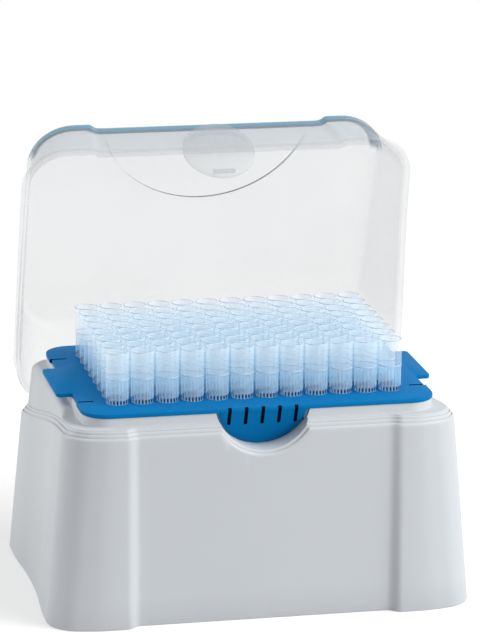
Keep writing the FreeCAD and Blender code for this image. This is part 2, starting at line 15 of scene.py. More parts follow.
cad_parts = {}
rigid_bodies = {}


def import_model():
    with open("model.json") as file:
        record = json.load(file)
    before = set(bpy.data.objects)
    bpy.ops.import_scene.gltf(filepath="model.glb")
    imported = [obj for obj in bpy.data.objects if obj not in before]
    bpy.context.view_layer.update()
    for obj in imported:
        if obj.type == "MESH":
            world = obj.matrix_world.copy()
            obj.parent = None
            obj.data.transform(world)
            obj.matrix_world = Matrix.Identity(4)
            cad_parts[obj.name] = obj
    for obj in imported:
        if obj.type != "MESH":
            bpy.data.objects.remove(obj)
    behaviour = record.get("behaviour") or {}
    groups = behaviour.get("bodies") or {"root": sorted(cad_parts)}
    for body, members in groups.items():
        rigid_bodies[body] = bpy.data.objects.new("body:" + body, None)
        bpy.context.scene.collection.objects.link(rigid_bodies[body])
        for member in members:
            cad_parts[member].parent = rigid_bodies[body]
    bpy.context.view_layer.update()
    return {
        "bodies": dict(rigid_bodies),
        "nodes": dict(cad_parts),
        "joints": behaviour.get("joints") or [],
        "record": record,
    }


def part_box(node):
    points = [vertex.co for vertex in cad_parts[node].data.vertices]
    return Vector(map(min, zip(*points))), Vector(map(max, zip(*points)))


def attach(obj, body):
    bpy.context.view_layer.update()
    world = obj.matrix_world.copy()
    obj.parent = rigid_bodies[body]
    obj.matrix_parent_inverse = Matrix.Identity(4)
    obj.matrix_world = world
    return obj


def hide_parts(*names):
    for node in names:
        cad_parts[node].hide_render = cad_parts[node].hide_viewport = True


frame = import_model()

MM = 0.001
LOG = logging.getLogger("tip_rack")
# On the lid's front walls, flange and thumb boss the deep look is painted shade.
TINT = "tint"  # mesh attribute that tells how far a finish turns to its deep look
SMOOTH_ANGLE = 32.0  # edges sharper than this stay crisp, in degrees
TIP_SMOOTH_ANGLE = 40.0
BEAD_LAP = 0.05  # how far under the bead before it the next one starts, in millimetres
SEAM = 0.1  # least width left between two roundings, in millimetres
FILLET_MIDDLE = 0.25  # where the middle point of a fillet lies, as a share of its radius
EDGE_MIDDLE = 0.28  # where the middle point of a rounded edge lies, as a share of its radius
WHITE = (1.0, 1.0, 1.0, 1.0)
BLACK = (0.0, 0.0, 0.0, 1.0)
MIX_SHARE, MIX_FIRST, MIX_SECOND, MIX_RESULT = 0, 6, 7, 2  # colour sockets of a Mix node

Colour = tuple[float, float, float]
Feed = Union["Value", bpy.types.NodeSocket, float, tuple[float, ...]]
Sockets = dict[Union[str, int], Feed]


# ---- where things are -----------------------------------------------------
@dataclass(frozen=True)
class Datum:
    """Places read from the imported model, in millimetres.

    Args:
        plate_top: Height of the tip plate's upper face.
        plate_half_depth: Middle of the grid to the plate's front edge.
        tip_rim: Height of the tips' rims.
        tip_end: Height of the tips' lower ends.
        pitch: Spacing of the tips.
        first_tip: Middle of the tip at the left of the front row.
        hinge: Y and Z of the lid's axis.
        open_angle: How far the lid swings from closed to its stop, in degrees.
    """

    plate_top: float
    plate_half_depth: float
    tip_rim: float
    tip_end: float
    pitch: float
    first_tip: tuple[float, float]
    hinge: tuple[float, float]
    open_angle: float

    @classmethod
    def from_frame(cls, loaded: dict) -> "Datum":
        """Reads the places from the loaded frame.


        Returns:
            The places in millimetres.
        """
        _, plate_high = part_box("tip_plate")
        first_low, first_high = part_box("tips_column_01")
        second_low, second_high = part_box("tips_column_02")
        joint = loaded["joints"][0]
        pitch = (second_low.x + second_high.x - first_low.x - first_high.x) / 2
        half_tip = (first_high.x - first_low.x) / 2
        return cls(
            plate_top=plate_high.z / MM,
            plate_half_depth=plate_high.y / MM,
            tip_rim=first_high.z / MM,
            tip_end=first_low.z / MM,
            pitch=pitch / MM,
            first_tip=((first_low.x + half_tip) / MM, (first_low.y + half_tip) / MM),
            hinge=(joint["pos_m"][1] / MM, joint["pos_m"][2] / MM),
            open_angle=joint["range_deg"][1],
        )


class Side(Enum):
    """Which end of the rack, by the sign of X."""

    LEFT = -1
    RIGHT = 1


class Cut(Enum):
    """What a carving tool does to a piece."""

    TAKE = "DIFFERENCE"
    JOIN = "UNION"


class TipFinish(IntEnum):
    """Which finish of a tip a face takes, in the order of the tip's materials."""

    WALL = 0
    BORE = 1
    LIP = 2
    # faces between the ribs at the foot, painted dark as painted shade
    FOOT = 3


class LidFinish(IntEnum):
    """Which finish of the lid a face takes, in the order of the lid's materials."""

    PLAIN = 0
    FOLD = 1
    CREASE = 2


# ---- lines and loops ------------------------------------------------------
def straight(start: Sequence[float], end: Sequence[float], steps: int) -> np.ndarray:
    """Points from start towards end, without the end itself.

    Args:
        start: First point.
        end: Point that the run leads to.
        steps: How many points.

    Returns:
        The points, one a row.
    """
    share = np.arange(steps)[:, None] / steps
    return np.array(start) + share * (np.array(end) - np.array(start))


def arc(centre: Sequence[float], radius: float, start: float, turn: float, steps: int) -> np.ndarray:
    """Points round a circle, without the last one.

    Args:
        centre: Middle of the circle.
        radius: Its radius.
        start: Angle of the first point, in degrees.
        turn: How far the arc turns, in degrees.
        steps: How many points.

    Returns:
        The points, one a row.
    """
    angle = np.radians(start + turn * np.arange(steps) / steps)
    return np.array(centre) + radius * np.column_stack([np.cos(angle), np.sin(angle)])


def whole_arc(centre: Sequence[float], radius: float, start: float, turn: float, steps: int) -> np.ndarray:
    """Points round a circle as arc() gives them, and the last one too."""
    last = arc(centre, radius, start + turn, 1, 1)
    return np.vstack([arc(centre, radius, start, turn, steps), last])


def sweep(poles: Sequence[Sequence[float]], steps: int) -> np.ndarray:
    """Points along a cubic curve, without the last one.

    Args:
        poles: The curve's four control points.
        steps: How many points.

    Returns:
        The points, one a row.
    """
    t = np.arange(steps)[:, None] / steps
    a, b, c, d = (np.array(pole) for pole in poles)
    return (1 - t) ** 3 * a + 3 * (1 - t) ** 2 * t * b + 3 * (1 - t) * t**2 * c + t**3 * d


def outward(loop: np.ndarray) -> np.ndarray:
    """Directions that point out of a loop that runs anticlockwise seen from above.

    Args:
        loop: Points of the loop; only X and Y are used.

    Returns:
        One unit vector in the plane for each point.
    """
    plan = loop[:, :2]
    ahead = np.roll(plan, -1, axis=0) - plan
    ahead /= np.linalg.norm(ahead, axis=1)[:, None]
    both = ahead + np.roll(ahead, 1, axis=0)
    both /= np.linalg.norm(both, axis=1)[:, None]
    return np.column_stack([both[:, 1], -both[:, 0]])


def quarter_round(*angles: float) -> list[tuple[float, float]]:
    """How far in and how far up a rounded edge has come at each angle in degrees, as shares."""
    return [(1 - math.cos(angle), math.sin(angle)) for angle in np.radians(angles)]


def bead_profile(
    beads: Sequence[tuple[float, float]], groove: float, angles: Sequence[float], lift: float = 0.0
) -> list[tuple[float, float]]:
    """Section of a flight of rounded beads with a groove between each two.

    Args:
        beads: How far in and how far up each bead ends.
        groove: Depth of the grooves.
        angles: Where round each bead its points lie, in degrees.
        lift: How much higher than drawn the beads stand over the grooves.

    Returns:
        How far in and how far up each point lies.
    """
    section = []
    start = (0.0, 0.0)
    for end in beads:
        for across, up in quarter_round(*angles):
            inset = start[0] + (end[0] - start[0]) * across
            section.append((inset, start[1] + (end[1] - start[1]) * up + lift))
        section.append((end[0] + groove / 2, end[1] - groove))
        start = (end[0] + groove, end[1] - BEAD_LAP)
    return section[:-1]


def smooth(share: np.ndarray) -> np.ndarray:
    """Eases a share from 0 to 1."""
    held = np.clip(share, 0.0, 1.0)
    return held * held * (3.0 - 2.0 * held)


def at_height(plan: np.ndarray, height: Union[float, np.ndarray]) -> np.ndarray:
    """Lifts a flat loop to a height, or to one height a point."""
    return np.column_stack([plan[:, :2], np.broadcast_to(height, len(plan))])


def upright(profile: np.ndarray, y: Union[float, np.ndarray]) -> np.ndarray:
    """Stands a flat profile up, so that its second column becomes the height, at a place along Y."""
    return np.column_stack([profile[:, 0], np.broadcast_to(y, len(profile)), profile[:, 1]])


@dataclass(frozen=True)
class Plan:
    """A rounded rectangle seen from above, with a stepped front and waisted sides.

    Args:
        half_width: Middle to the side.
        front: Middle to the front of the pillars.
        back: Middle to the back.
        radius: Corner radius.
        recess: How far the front panel is set back.
        waist: How far each side pulls in.
        panel: Half the width of the front panel.
        jog: Width of the S-shaped step beside the panel.
        reach: Where the waist starts, from the middle.
        ease: How far the pillar's face turns before the corner, in degrees.
        corner_room: Least length between the waist and a corner.
        pole_reach: How far the pillar's curve is drawn to the side, as a share of half the pillar.
    """

    half_width: float
    front: float
    back: float
    radius: float
    recess: float = 0.0
    waist: float = 0.0
    panel: float = 44.5
    jog: float = 5.5
    reach: float = 38.0
    ease: float = 0.0
    corner_room: float = 0.5
    pole_reach: float = 1.15

    def loop(self) -> np.ndarray:
        """Points of the outline, anticlockwise from the middle of the front.

        Returns:
            As many points for every plan, so that two plans can be joined.
        """
        wide, narrow = self.half_width, self.half_width - self.waist
        inner = wide - self.radius
        front, back = -self.front, self.back
        shallow = min(self.front, self.back)
        reach = min(self.reach, shallow - self.radius - self.corner_room)
        middle, outer = self.panel + self.jog / 2, self.panel + self.jog
        flat = front + self.recess
        ease = math.radians(self.ease)
        bend = (inner + self.radius * math.sin(ease), front)
        half_pillar = (bend[0] - outer) / 2
        bend = (bend[0], front + half_pillar * math.tan(ease))
        pole = (outer + half_pillar * self.pole_reach, front)
        centre = (inner, bend[1] + self.radius * math.cos(ease))
        runs = [
            straight((0, flat), (self.panel, flat), 16),
            sweep([(self.panel, flat), (middle, flat), (middle, front), (outer, front)], 12),
            sweep([(outer, front), pole, pole, bend], 8),
            arc(centre, self.radius, self.ease - 90, 90 - self.ease, 14),
            straight((wide, centre[1]), (wide, -reach), 1),
            sweep([(wide, -reach), (wide, -reach / 2), (narrow, -reach / 2), (narrow, 0)], 20),
            sweep([(narrow, 0), (narrow, reach / 2), (wide, reach / 2), (wide, reach)], 20),
            straight((wide, reach), (wide, back - self.radius), 1),
            arc((inner, back - self.radius), self.radius, 0, 90, 14),
            straight((inner, back), (0, back), 16),
        ]
        right = np.vstack(runs + [np.array([[0.0, back]])])
        left = right[-2:0:-1] * np.array([-1.0, 1.0])
        return np.vstack([right, left])


# ---- meshes ---------------------------------------------------------------
class Skin:
    """Collects the points and faces of one mesh, in millimetres."""

    def __init__(self) -> None:
        """Starts with no points."""
        self.points: list[tuple[float, ...]] = []
        self.faces: list[tuple[int, ...]] = []
        self.marks: list[int] = []
        self.tints: list[float] = []

    def ring(self, points: np.ndarray, tint: Union[float, np.ndarray] = 0.0) -> list[int]:
        """Adds a row of points.

        Args:
            points: Three columns, one point a row.
            tint: How far the finish turns to its deep look there, from 0 to 1.

        Returns:
            The points' numbers in this mesh.
        """
        first = len(self.points)
        self.points.extend(tuple(float(c) for c in point) for point in points)
        self.tints.extend(float(t) for t in np.broadcast_to(tint, len(points)))
        return list(range(first, len(self.points)))

    def face(self, corners: Iterable[int], finish: int = 0) -> None:
        """Adds one face with the given finish."""
        self.faces.append(tuple(corners))
        self.marks.append(int(finish))

    def band(self, low: Sequence[int], high: Sequence[int], finish: int = 0, closed: bool = True) -> None:
        """Joins two rows of as many points by a band of faces.

        Args:
            low: Numbers of the first row.
            high: Numbers of the second row.
            finish: Which of the piece's finishes the band takes.
            closed: Whether the band runs right round.
        """
        count = len(low)
        for i in range(count if closed else count - 1):
            j = (i + 1) % count
            self.face((low[i], low[j], high[j], high[i]), finish)

    def stack(
        self, loops: Sequence[np.ndarray], finish: int = 0, tint: float = 0.0
    ) -> tuple[list[int], list[int]]:
        """Joins loops one after another.

        Args:
            loops: Closed loops of as many points.
            finish: Which of the piece's finishes the bands take.
            tint: How far the finish turns to its deep look.

        Returns:
            The numbers of the first and of the last loop.
        """
        rings = [self.ring(loop, tint) for loop in loops]
        for low, high in zip(rings, rings[1:]):
            self.band(low, high, finish)
        return rings[0], rings[-1]

    def solid(self, loops: Sequence[np.ndarray], finish: int = 0, tint: float = 0.0) -> None:
        """Joins loops and closes both ends.

        Args:
            loops: Closed loops of as many points.
            finish: Which of the piece's finishes the faces take.
            tint: How far the finish turns to its deep look.
        """
        first, last = self.stack(loops, finish, tint)
        self.face(reversed(first), finish)
        self.face(last, finish)

    def box(self, low: Sequence[float], high: Sequence[float]) -> None:
        """Adds a box.

        Args:
            low: Its lowest corner.
            high: Its highest corner.
        """
        x = np.array([low[0], high[0], high[0], low[0]])
        y = np.array([low[1], low[1], high[1], high[1]])
        corners = np.column_stack([x, y])
        self.solid([at_height(corners, low[2]), at_height(corners, high[2])])

    def ladder(self, inner: Sequence[int], outer: Sequence[int], finish: int = 0) -> None:
        """Fills between two open rows of different length by triangles.

        Args:
            inner: Numbers of the shorter row.
            outer: Numbers of the longer row, which runs the same way.
            finish: Which of the piece's finishes the triangles take.
        """
        places = np.array(self.points)[:, :2]
        at = 0
        for near, far in zip(outer, outer[1:]):
            self.face((near, far, inner[at]), finish)
            gap = np.linalg.norm(places[list(inner)] - places[far], axis=1)
            aim = max(at, int(np.argmin(gap))) if far != outer[-1] else len(inner) - 1
            for step in range(at, aim):
                self.face((inner[step], far, inner[step + 1]), finish)
            at = aim

    def build(self, name: str, finishes: Sequence[bpy.types.Material]) -> bpy.types.Object:
        """Makes the mesh.

        Args:
            name: The piece's name.
            finishes: Materials in the order of the faces' marks.

        Returns:
            The new object, in metres.
        """
        mesh = bpy.data.meshes.new(name)
        scaled = [tuple(MM * c for c in point) for point in self.points]
        mesh.from_pydata(scaled, [], self.faces)
        for finish in finishes:
            mesh.materials.append(finish)
        mesh.polygons.foreach_set("material_index", self.marks)
        mesh.attributes.new(TINT, "FLOAT", "POINT").data.foreach_set("value", self.tints)
        whole = bmesh.new()
        whole.from_mesh(mesh)
        bmesh.ops.recalc_face_normals(whole, faces=whole.faces)
        whole.to_mesh(mesh)
        whole.free()
        piece = bpy.data.objects.new(name, mesh)
        bpy.context.scene.collection.objects.link(piece)
        return piece


def carve(piece: bpy.types.Object, tool: bpy.types.Object, cut: Cut) -> None:
    """Cuts a piece with a tool, or joins the tool to it, and removes the tool.

    Args:
        piece: What is carved.
        tool: A closed mesh.
        cut: Whether the tool takes away or joins.
    """
    modifier = piece.modifiers.new("carve", "BOOLEAN")
    modifier.operation = cut.value
    modifier.solver = "EXACT"
    modifier.use_self = True
    modifier.material_mode = "TRANSFER"
    modifier.object = tool
    bpy.context.view_layer.update()
    graph = bpy.context.evaluated_depsgraph_get()
    shaped = bpy.data.meshes.new_from_object(piece.evaluated_get(graph))
    shaped.validate()
    piece.modifiers.clear()
    piece.data = shaped
    bpy.data.objects.remove(tool)


def soften(piece: bpy.types.Object, angle: float = SMOOTH_ANGLE) -> None:
    """Shades a piece smoothly, apart from its edges sharper than the angle in degrees."""
    piece.data.shade_smooth()
    piece.data.set_sharp_from_angle(angle=math.radians(angle))


def report(piece: bpy.types.Object, body: str, nodes: Sequence[str]) -> None:
    """Ties a piece to the frame and logs it.

    Args:
        piece: The finished piece.
        body: The body that it moves with.
        nodes: The solids that it stands for.
    """
    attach(piece, body)
    if nodes:
        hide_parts(*nodes)
    LOG.info("%s: %d faces on %s", piece.name, len(piece.data.polygons), body)


# ---- finishes -------------------------------------------------------------
class Value:
    """A socket that carries a number, with arithmetic that adds Math nodes."""

    def __init__(self, graph: "Graph", socket: bpy.types.NodeSocket) -> None:
        """Wraps a socket of the graph."""
        self.graph = graph
        self.socket = socket

    def _math(self, operation: str, first: Feed, second: Feed) -> "Value":
        """Adds one Math node.

        Args:
            operation: The node's operation.
            first: Value or number on its first socket.
            second: Value or number on its second socket.

        Returns:
            The node's result.
        """
        node = self.graph.add("ShaderNodeMath", {"operation": operation}, {0: first, 1: second})
        return Value(self.graph, node.outputs[0])

    def __add__(self, other: Feed) -> "Value":
        """Sum."""
        return self._math("ADD", self, other)

    __radd__ = __add__

    def __sub__(self, other: Feed) -> "Value":
        """Difference."""
        return self._math("SUBTRACT", self, other)

    def __rsub__(self, other: Feed) -> "Value":
        """Difference, the other way round."""
        return self._math("SUBTRACT", other, self)

    def __mul__(self, other: Feed) -> "Value":
        """Product."""
        return self._math("MULTIPLY", self, other)

    __rmul__ = __mul__

    def __pow__(self, other: Feed) -> "Value":
        """Power."""
        return self._math("POWER", self, other)


class Graph:
    """The nodes of one material or of the world."""

    def __init__(self, owner: Union[bpy.types.Material, bpy.types.World]) -> None:
        """Empties the node tree of a new material or world.

        Args:
            owner: The material or world.
        """
        owner.use_nodes = True
        self.owner = owner
        self.tree = owner.node_tree
        self.tree.nodes.clear()

    def add(self, kind: str, settings: dict[str, str], inputs: Sockets) -> bpy.types.Node:
        """Adds any node.

        Args:
            kind: The node's type.
            settings: Its properties, which are set first.
            inputs: Numbers, colours, values or sockets by socket name or number.

        Returns:
            The new node.
        """
        node = self.tree.nodes.new(kind)
        for key, value in settings.items():
            setattr(node, key, value)
        for key, value in inputs.items():
            if isinstance(value, Value):
                self.tree.links.new(value.socket, node.inputs[key])
            elif isinstance(value, bpy.types.NodeSocket):
                self.tree.links.new(value, node.inputs[key])
            else:
                node.inputs[key].default_value = value
        return node

    def noise(self, scale: float, detail: float = 3.0) -> Value:
        """Adds a value that wanders smoothly over the piece.

        Args:
            scale: How many swings it makes in a metre, roughly.
            detail: How many finer layers it has.

        Returns:
            The value, from 0 to 1.
        """
        place = self.add("ShaderNodeTexCoord", {}, {}).outputs["Object"]
        node = self.add("ShaderNodeTexNoise", {}, {"Vector": place, "Scale": scale, "Detail": detail})
        return Value(self, node.outputs["Fac"])

    def blend(self, share: Feed, first: Feed, second: Feed) -> bpy.types.NodeSocket:
        """Mixes two colours.

        Args:
            share: How much of the second, a value or a number.
            first: Colour with alpha, or a socket.
            second: Colour with alpha, or a socket.

        Returns:
            The mixed colour's socket.
        """
        sockets = {MIX_SHARE: share, MIX_FIRST: first, MIX_SECOND: second}
        return self.add("ShaderNodeMix", {"data_type": "RGBA"}, sockets).outputs[MIX_RESULT]

    def relief(self, height: Value, depth: float) -> bpy.types.NodeSocket:
        """Turns a height into a surface direction.

        Args:
            height: Value from 0 to 1.
            depth: Height of a full step, in metres.

        Returns:
            The direction's socket.
        """
        node = self.add("ShaderNodeBump", {}, {"Strength": 1.0, "Distance": depth, "Height": height})
        return node.outputs["Normal"]

    def shade(self, inputs: Sockets) -> bpy.types.Material:
        """Closes the material with one surface shader.

        Args:
            inputs: The shader's sockets.

        Returns:
            The material.
        """
        shader = self.add("ShaderNodeBsdfPrincipled", {}, inputs)
        self.add("ShaderNodeOutputMaterial", {}, {"Surface": shader.outputs[0]})
        return self.owner


def opaque(colour: Colour, gain: float = 1.0) -> tuple[float, float, float, float]:
    """A colour with full alpha, brightened by a factor."""
    return (colour[0] * gain, colour[1] * gain, colour[2] * gain, 1.0)


@dataclass(frozen=True)
class Moulded:
    """Opaque satin plastic.

    Args:
        name: The finish's name.
        colour: Its middle colour.
        roughness: How matt it is.
        gloss: Strength of its reflections.
        mottle: Share by which the colour wanders.
        grain: Height of the surface grain, in millimetres.
        drift_scale: Fineness of the wandering colour.
        grain_scale: Fineness of the surface grain.
        grain_spread: How far the grain changes the roughness.
    """

    name: str
    colour: Colour
    roughness: float
    gloss: float = 0.35
    mottle: float = 0.02
    grain: float = 0.004
    drift_scale: float = 18.0
    grain_scale: float = 2600.0
    grain_spread: float = 0.08

    def material(self) -> bpy.types.Material:
        """Makes the material.

        Returns:
            The material.
        """
        graph = Graph(bpy.data.materials.new(self.name))
        drift = graph.noise(self.drift_scale)
        fine = graph.noise(self.grain_scale, 2.0)
        low, high = opaque(self.colour, 1 - self.mottle), opaque(self.colour, 1 + self.mottle)
        return graph.shade(
            {
                "Base Color": graph.blend(drift, low, high),
                "Roughness": fine * self.grain_spread + (self.roughness - self.grain_spread / 2),
                "Specular IOR Level": self.gloss,
                "Normal": graph.relief(fine, self.grain * MM),
            }
        )


@dataclass(frozen=True)
class Clear:
    """Thin clear plastic that turns denser where it is seen edge on, and takes its deep colour and cover where
    the mesh is marked; on the lid's front walls that deep look is painted shade.

    Args:
        name: The finish's name.
        colour: Colour seen square on.
        edge: Colour seen edge on.
        deep: Colour where the mesh is marked deep.
        cover: How much it hides square on.
        edge_cover: How much it hides edge on.
        deep_cover: How much it hides where the mesh is marked deep.
        fall: How sharply the edge look sets in.
        roughness: How matt it is.
        glow: Painted light, an emission that stands in for light scattered inside the plastic.
        drift_scale: Fineness of the wandering cover and roughness.
        cover_spread: How far the cover wanders.
        matt_spread: How far the roughness wanders.
    """

    name: str
    colour: Colour
    edge: Colour
    deep: Colour
    cover: float
    edge_cover: float
    deep_cover: float
    fall: float
    roughness: float
    glow: Colour = (0.0, 0.0, 0.0)
    drift_scale: float = 30.0
    cover_spread: float = 0.05
    matt_spread: float = 0.06

    def material(self) -> bpy.types.Material:
        """Makes the material.

        Returns:
            The material.
        """
        graph = Graph(bpy.data.materials.new(self.name))
        facing = graph.add("ShaderNodeLayerWeight", {}, {"Blend": 0.5}).outputs["Facing"]
        rim = Value(graph, facing) ** self.fall
        mark = graph.add("ShaderNodeAttribute", {"attribute_name": TINT}, {}).outputs["Fac"]
        deep = Value(graph, mark)
        drift = graph.noise(self.drift_scale)
        plain = graph.blend(rim, opaque(self.colour), opaque(self.edge))
        thin = rim * (self.edge_cover - self.cover) + self.cover + (drift - 0.5) * self.cover_spread
        return graph.shade(
            {
                "Base Color": graph.blend(deep, plain, opaque(self.deep)),
                "Roughness": drift * self.matt_spread + (self.roughness - self.matt_spread / 2),
                "Alpha": thin * (1 - deep) + deep * self.deep_cover,
                "Emission Color": opaque(self.glow),
                "Emission Strength": 1.0,
            }
        )


GREY = Moulded("grey_plastic", (0.51, 0.535, 0.56), roughness=0.42)
BLUE = Moulded("blue_plastic", (0.001, 0.155, 0.40), roughness=0.5, gloss=0.03)
# Painted shade: near-black floors left in the slots and side slits stand in for the dark seen through them.
SLOT = Moulded("slot_shade", (0.004, 0.006, 0.03), roughness=0.6, gloss=0.1)
TIP_RIM = Moulded("tip_rim", (0.46, 0.58, 0.70), roughness=0.25, gloss=0.5)
# Painted shade: near-black navy on the faces between the ribs at each tip's foot stands in for the dark gap
# down into the plate's hole.
TIP_FOOT = Moulded("tip_foot", (0.01, 0.06, 0.17), roughness=0.35, gloss=0.2)
TIP = Clear(
    "tip_plastic",
    colour=(0.86, 0.96, 1.0),
    edge=(0.50, 0.66, 0.82),
    deep=(0.62, 0.84, 1.0),
    cover=0.16,
    edge_cover=0.75,
    deep_cover=0.30,
    fall=3.5,
    roughness=0.18,
    # Painted light: the tips and their bores give off a faint blue emission in place of light scattered through
    # the plastic.
    glow=(0.010, 0.042, 0.072),
)
TIP_BORE = replace(
    TIP,
    name="tip_bore",
    colour=(0.95, 0.99, 1.0),
    edge=(0.80, 0.90, 1.0),
    deep=(1.0, 1.0, 1.0),
    cover=0.10,
    edge_cover=0.25,
    deep_cover=0.9,
    fall=3.0,
)
# Painted shade: the deep grey darkens the lid's walls that face the front, because less light falls on them
# from above.
LID = Clear(
    "clear_lid",
    colour=(0.58, 0.59, 0.60),
    edge=(0.42, 0.45, 0.47),
    deep=(0.44, 0.49, 0.53),
    cover=0.13,
    edge_cover=0.50,
    deep_cover=0.36,
    fall=3.0,
    roughness=0.16,
)
FOLD = replace(LID, name="lid_fold", deep=(0.10, 0.27, 0.40), deep_cover=0.90, roughness=0.14)
CREASE = Clear(
    "lid_crease",
    colour=(0.02, 0.04, 0.06),
    edge=(0.02, 0.04, 0.06),
    deep=(0.5, 0.53, 0.55),
    cover=0.95,
    edge_cover=0.97,
    deep_cover=0.2,
    fall=2.0,
    roughness=0.4,
)


# ---- base -----------------------------------------------------------------
@dataclass
class BaseShell:
    """Grey moulded base: outer wall, beaded ledge, deck, collar, recess and hinge pockets.

    Args:
        datum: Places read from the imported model.
        foot: Outline on the bench.
        rim: Outline where the front wall ends.
        deck: Outline of the block under the deck.
        collar: Outline of the upright collar round the plate.
        rim_drop: Plate's top down to the outline called rim.
        wall: Thickness of the walls and of the deck.
        wall_drop: Plate's top down to the wall's top edge at the front.
        slope_drop: How far the ledge comes down from the front to the hinge.
        slope_front: Where along the sides the S-curve starts.
        slope_front_reach: How long the S-curve stays level at its front end.
        slope_back_reach: How long the S-curve stays level at its back end.
        beads: How far in and how far up each bead of the ledge ends.
        groove: Depth of the grooves between beads.
        bead_lift: How far the beads stand over the wall's edge.
        ledge_gap: Least width between the beads and the shoulder.
        draft: Lean of the shoulder, as a share of its height.
        deck_drop: Plate's top down to the deck.
        deck_rise: Deck over the ledge, where the ledge is the higher.
        shoulder_round: Radius of the deck's edge.
        shoulder_least: Least radius of the deck's edge.
        shoulder_share: Most of the shoulder's height that the radius may take.
        ramp_start: Where the deck's ramps start.
        ramp_length: Length of the ramps.
        ramp_drop: How far the ramps come down.
        collar_drop: Plate's top down to the collar's top.
        collar_wall: Thickness of the collar.
        collar_fillet: Radius at the collar's foot.
        collar_round: Radius of the collar's top edge.
        chine: How far the foot's rounded edge comes in.
        chine_middle: Where that edge's middle point lies, in and up.
        rim_under: How high the underside stands inside the foot's rim.
        rim_bevel: Width of the bevel up to the underside.
        haunch: Wall's top down to the middle of the haunch under the ledge.
        haunch_in: How far the haunch stands inside the wall.
        floor_top: Upper face of the floor.
        recess_radius: Radius of the thumb recess.
        recess_rise: Middle of the recess over the plate's top.
        recess_back: Where the recess ends inside.
        recess_beads: How far in and how far up each bead of the recess ends.
        recess_wall: Thickness of the wall behind the recess.
        recess_lap: How far that wall's top lies over the deck's inside.
        recess_front: Where that wall starts.
        recess_clear: How far in front of the base the recess's tool starts.
        recess_end: How far before the wall's end the recess's tool ends.
        pocket_half: Half the width of an ear's pocket.
        pocket_turn: Pocket's room round the lid's axis.
        pocket_depth: How far behind the axis the pocket's tool ends.
        cheek: Thickness of each block that carries a pin stub.
        cheek_low: The block's lowest corner, along and up from the axis.
        cheek_high: The block's highest corner, along and up from the axis.
        hinge_x: Middle to the middle of each ear.
    """

    datum: Datum
    foot: Plan = Plan(77.0, 55.0, 55.0, 12.0, 3.0, 1.6, reach=40.5, ease=10.0)
    rim: Plan = Plan(71.0, 52.4, 52.4, 12.0, 1.6, 1.0, reach=38.4, ease=10.0)
    deck: Plan = Plan(69.0, 49.7, 47.4, 9.6, 1.6, 0.0, ease=10.0)
    collar: Plan = Plan(63.4, 46.2, 46.2, 9.2)
    rim_drop: float = 7.3
    wall: float = 2.2
    wall_drop: float = 8.4
    slope_drop: float = 16.2
    slope_front: float = -46.0
    slope_front_reach: float = 30.0
    slope_back_reach: float = 24.0
    beads: tuple[tuple[float, float], ...] = ((0.75, 1.2), (1.6, 2.4), (2.3, 3.3))
    groove: float = 0.3
    bead_lift: float = 0.02
    ledge_gap: float = 0.25
    draft: float = 0.09
    deck_drop: float = 4.4
    deck_rise: float = 0.45
    shoulder_round: float = 2.6
    shoulder_least: float = 0.2
    shoulder_share: float = 0.8
    ramp_start: float = -17.7
    ramp_length: float = 12.5
    ramp_drop: float = 4.0
    collar_drop: float = 1.5
    collar_wall: float = 2.0
    collar_fillet: float = 0.4
    collar_round: float = 0.25
    chine: float = 0.7
    chine_middle: float = 0.2
    rim_under: float = 1.0
    rim_bevel: float = 0.5
    haunch: float = 4.0
    haunch_in: float = 1.2
    floor_top: float = 3.0
    recess_radius: float = 17.4
    recess_rise: float = 2.6
    recess_back: float = -39.6
    recess_beads: tuple[tuple[float, float], ...] = ((0.75, 1.05), (1.5, 2.1))
    recess_wall: float = 2.0
    recess_lap: float = 0.15
    recess_front: float = -49.6
    recess_clear: float = 12.0
    recess_end: float = 1.5
    pocket_half: float = 4.4
    pocket_turn: float = 3.94
    pocket_depth: float = 20.0
    cheek: float = 4.0
    cheek_low: tuple[float, float] = (-3.75, -5.0)
    cheek_high: tuple[float, float] = (1.25, 2.0)
    hinge_x: float = 44.0

    def drop(self, y: np.ndarray) -> np.ndarray:
        """How far the ledge has come down the S-curve.

        Args:
            y: Places along the sides.

        Returns:
            One drop for each place.
        """
        start, end = self.slope_front, self.datum.hinge[0]
        poles = [
            (start, 0.0),
            (start + self.slope_front_reach, 0.0),
            (end - self.slope_back_reach, self.slope_drop),
            (end, self.slope_drop),
        ]
        curve = np.vstack([sweep(poles, 80), np.array([poles[-1]])])
        return np.interp(y, curve[:, 0], curve[:, 1])

    def deck_level(self, y: np.ndarray) -> np.ndarray:
        """Height of the deck, with its ramps down to the front corners.

        Args:
            y: Places along the sides.

        Returns:
            One height for each place.
        """
        top = self.datum.plate_top
        ramp = top - self.deck_drop - self.ramp_drop * smooth((self.ramp_start - y) / self.ramp_length)
        ledge = top - self.wall_drop + self.beads[-1][1] - self.drop(y) + self.deck_rise
        return np.minimum(np.maximum(ramp, ledge), top - self.deck_drop)

    def ceiling(self, y: np.ndarray) -> np.ndarray:
        """Height of the inside of the deck at each place, one wall under its top."""
        return self.deck_level(y) - self.wall

    def wall_loop(self, height: np.ndarray, inset: float = 0.0) -> np.ndarray:
        """Outline of the outer wall at a height for each point.

        Args:
            height: One height a point.
            inset: How far inside the outline.

        Returns:
            The loop.
        """
        share = (height / (self.datum.plate_top - self.rim_drop))[:, None]
        plan = self.foot.loop() * (1 - share) + self.rim.loop() * share
        return at_height(plan - inset * outward(plan), height)

    def wall_top(self) -> np.ndarray:
        """Height of the wall's top edge at each point of the outline."""
        return self.datum.plate_top - self.wall_drop - self.drop(self.rim.loop()[:, 1])

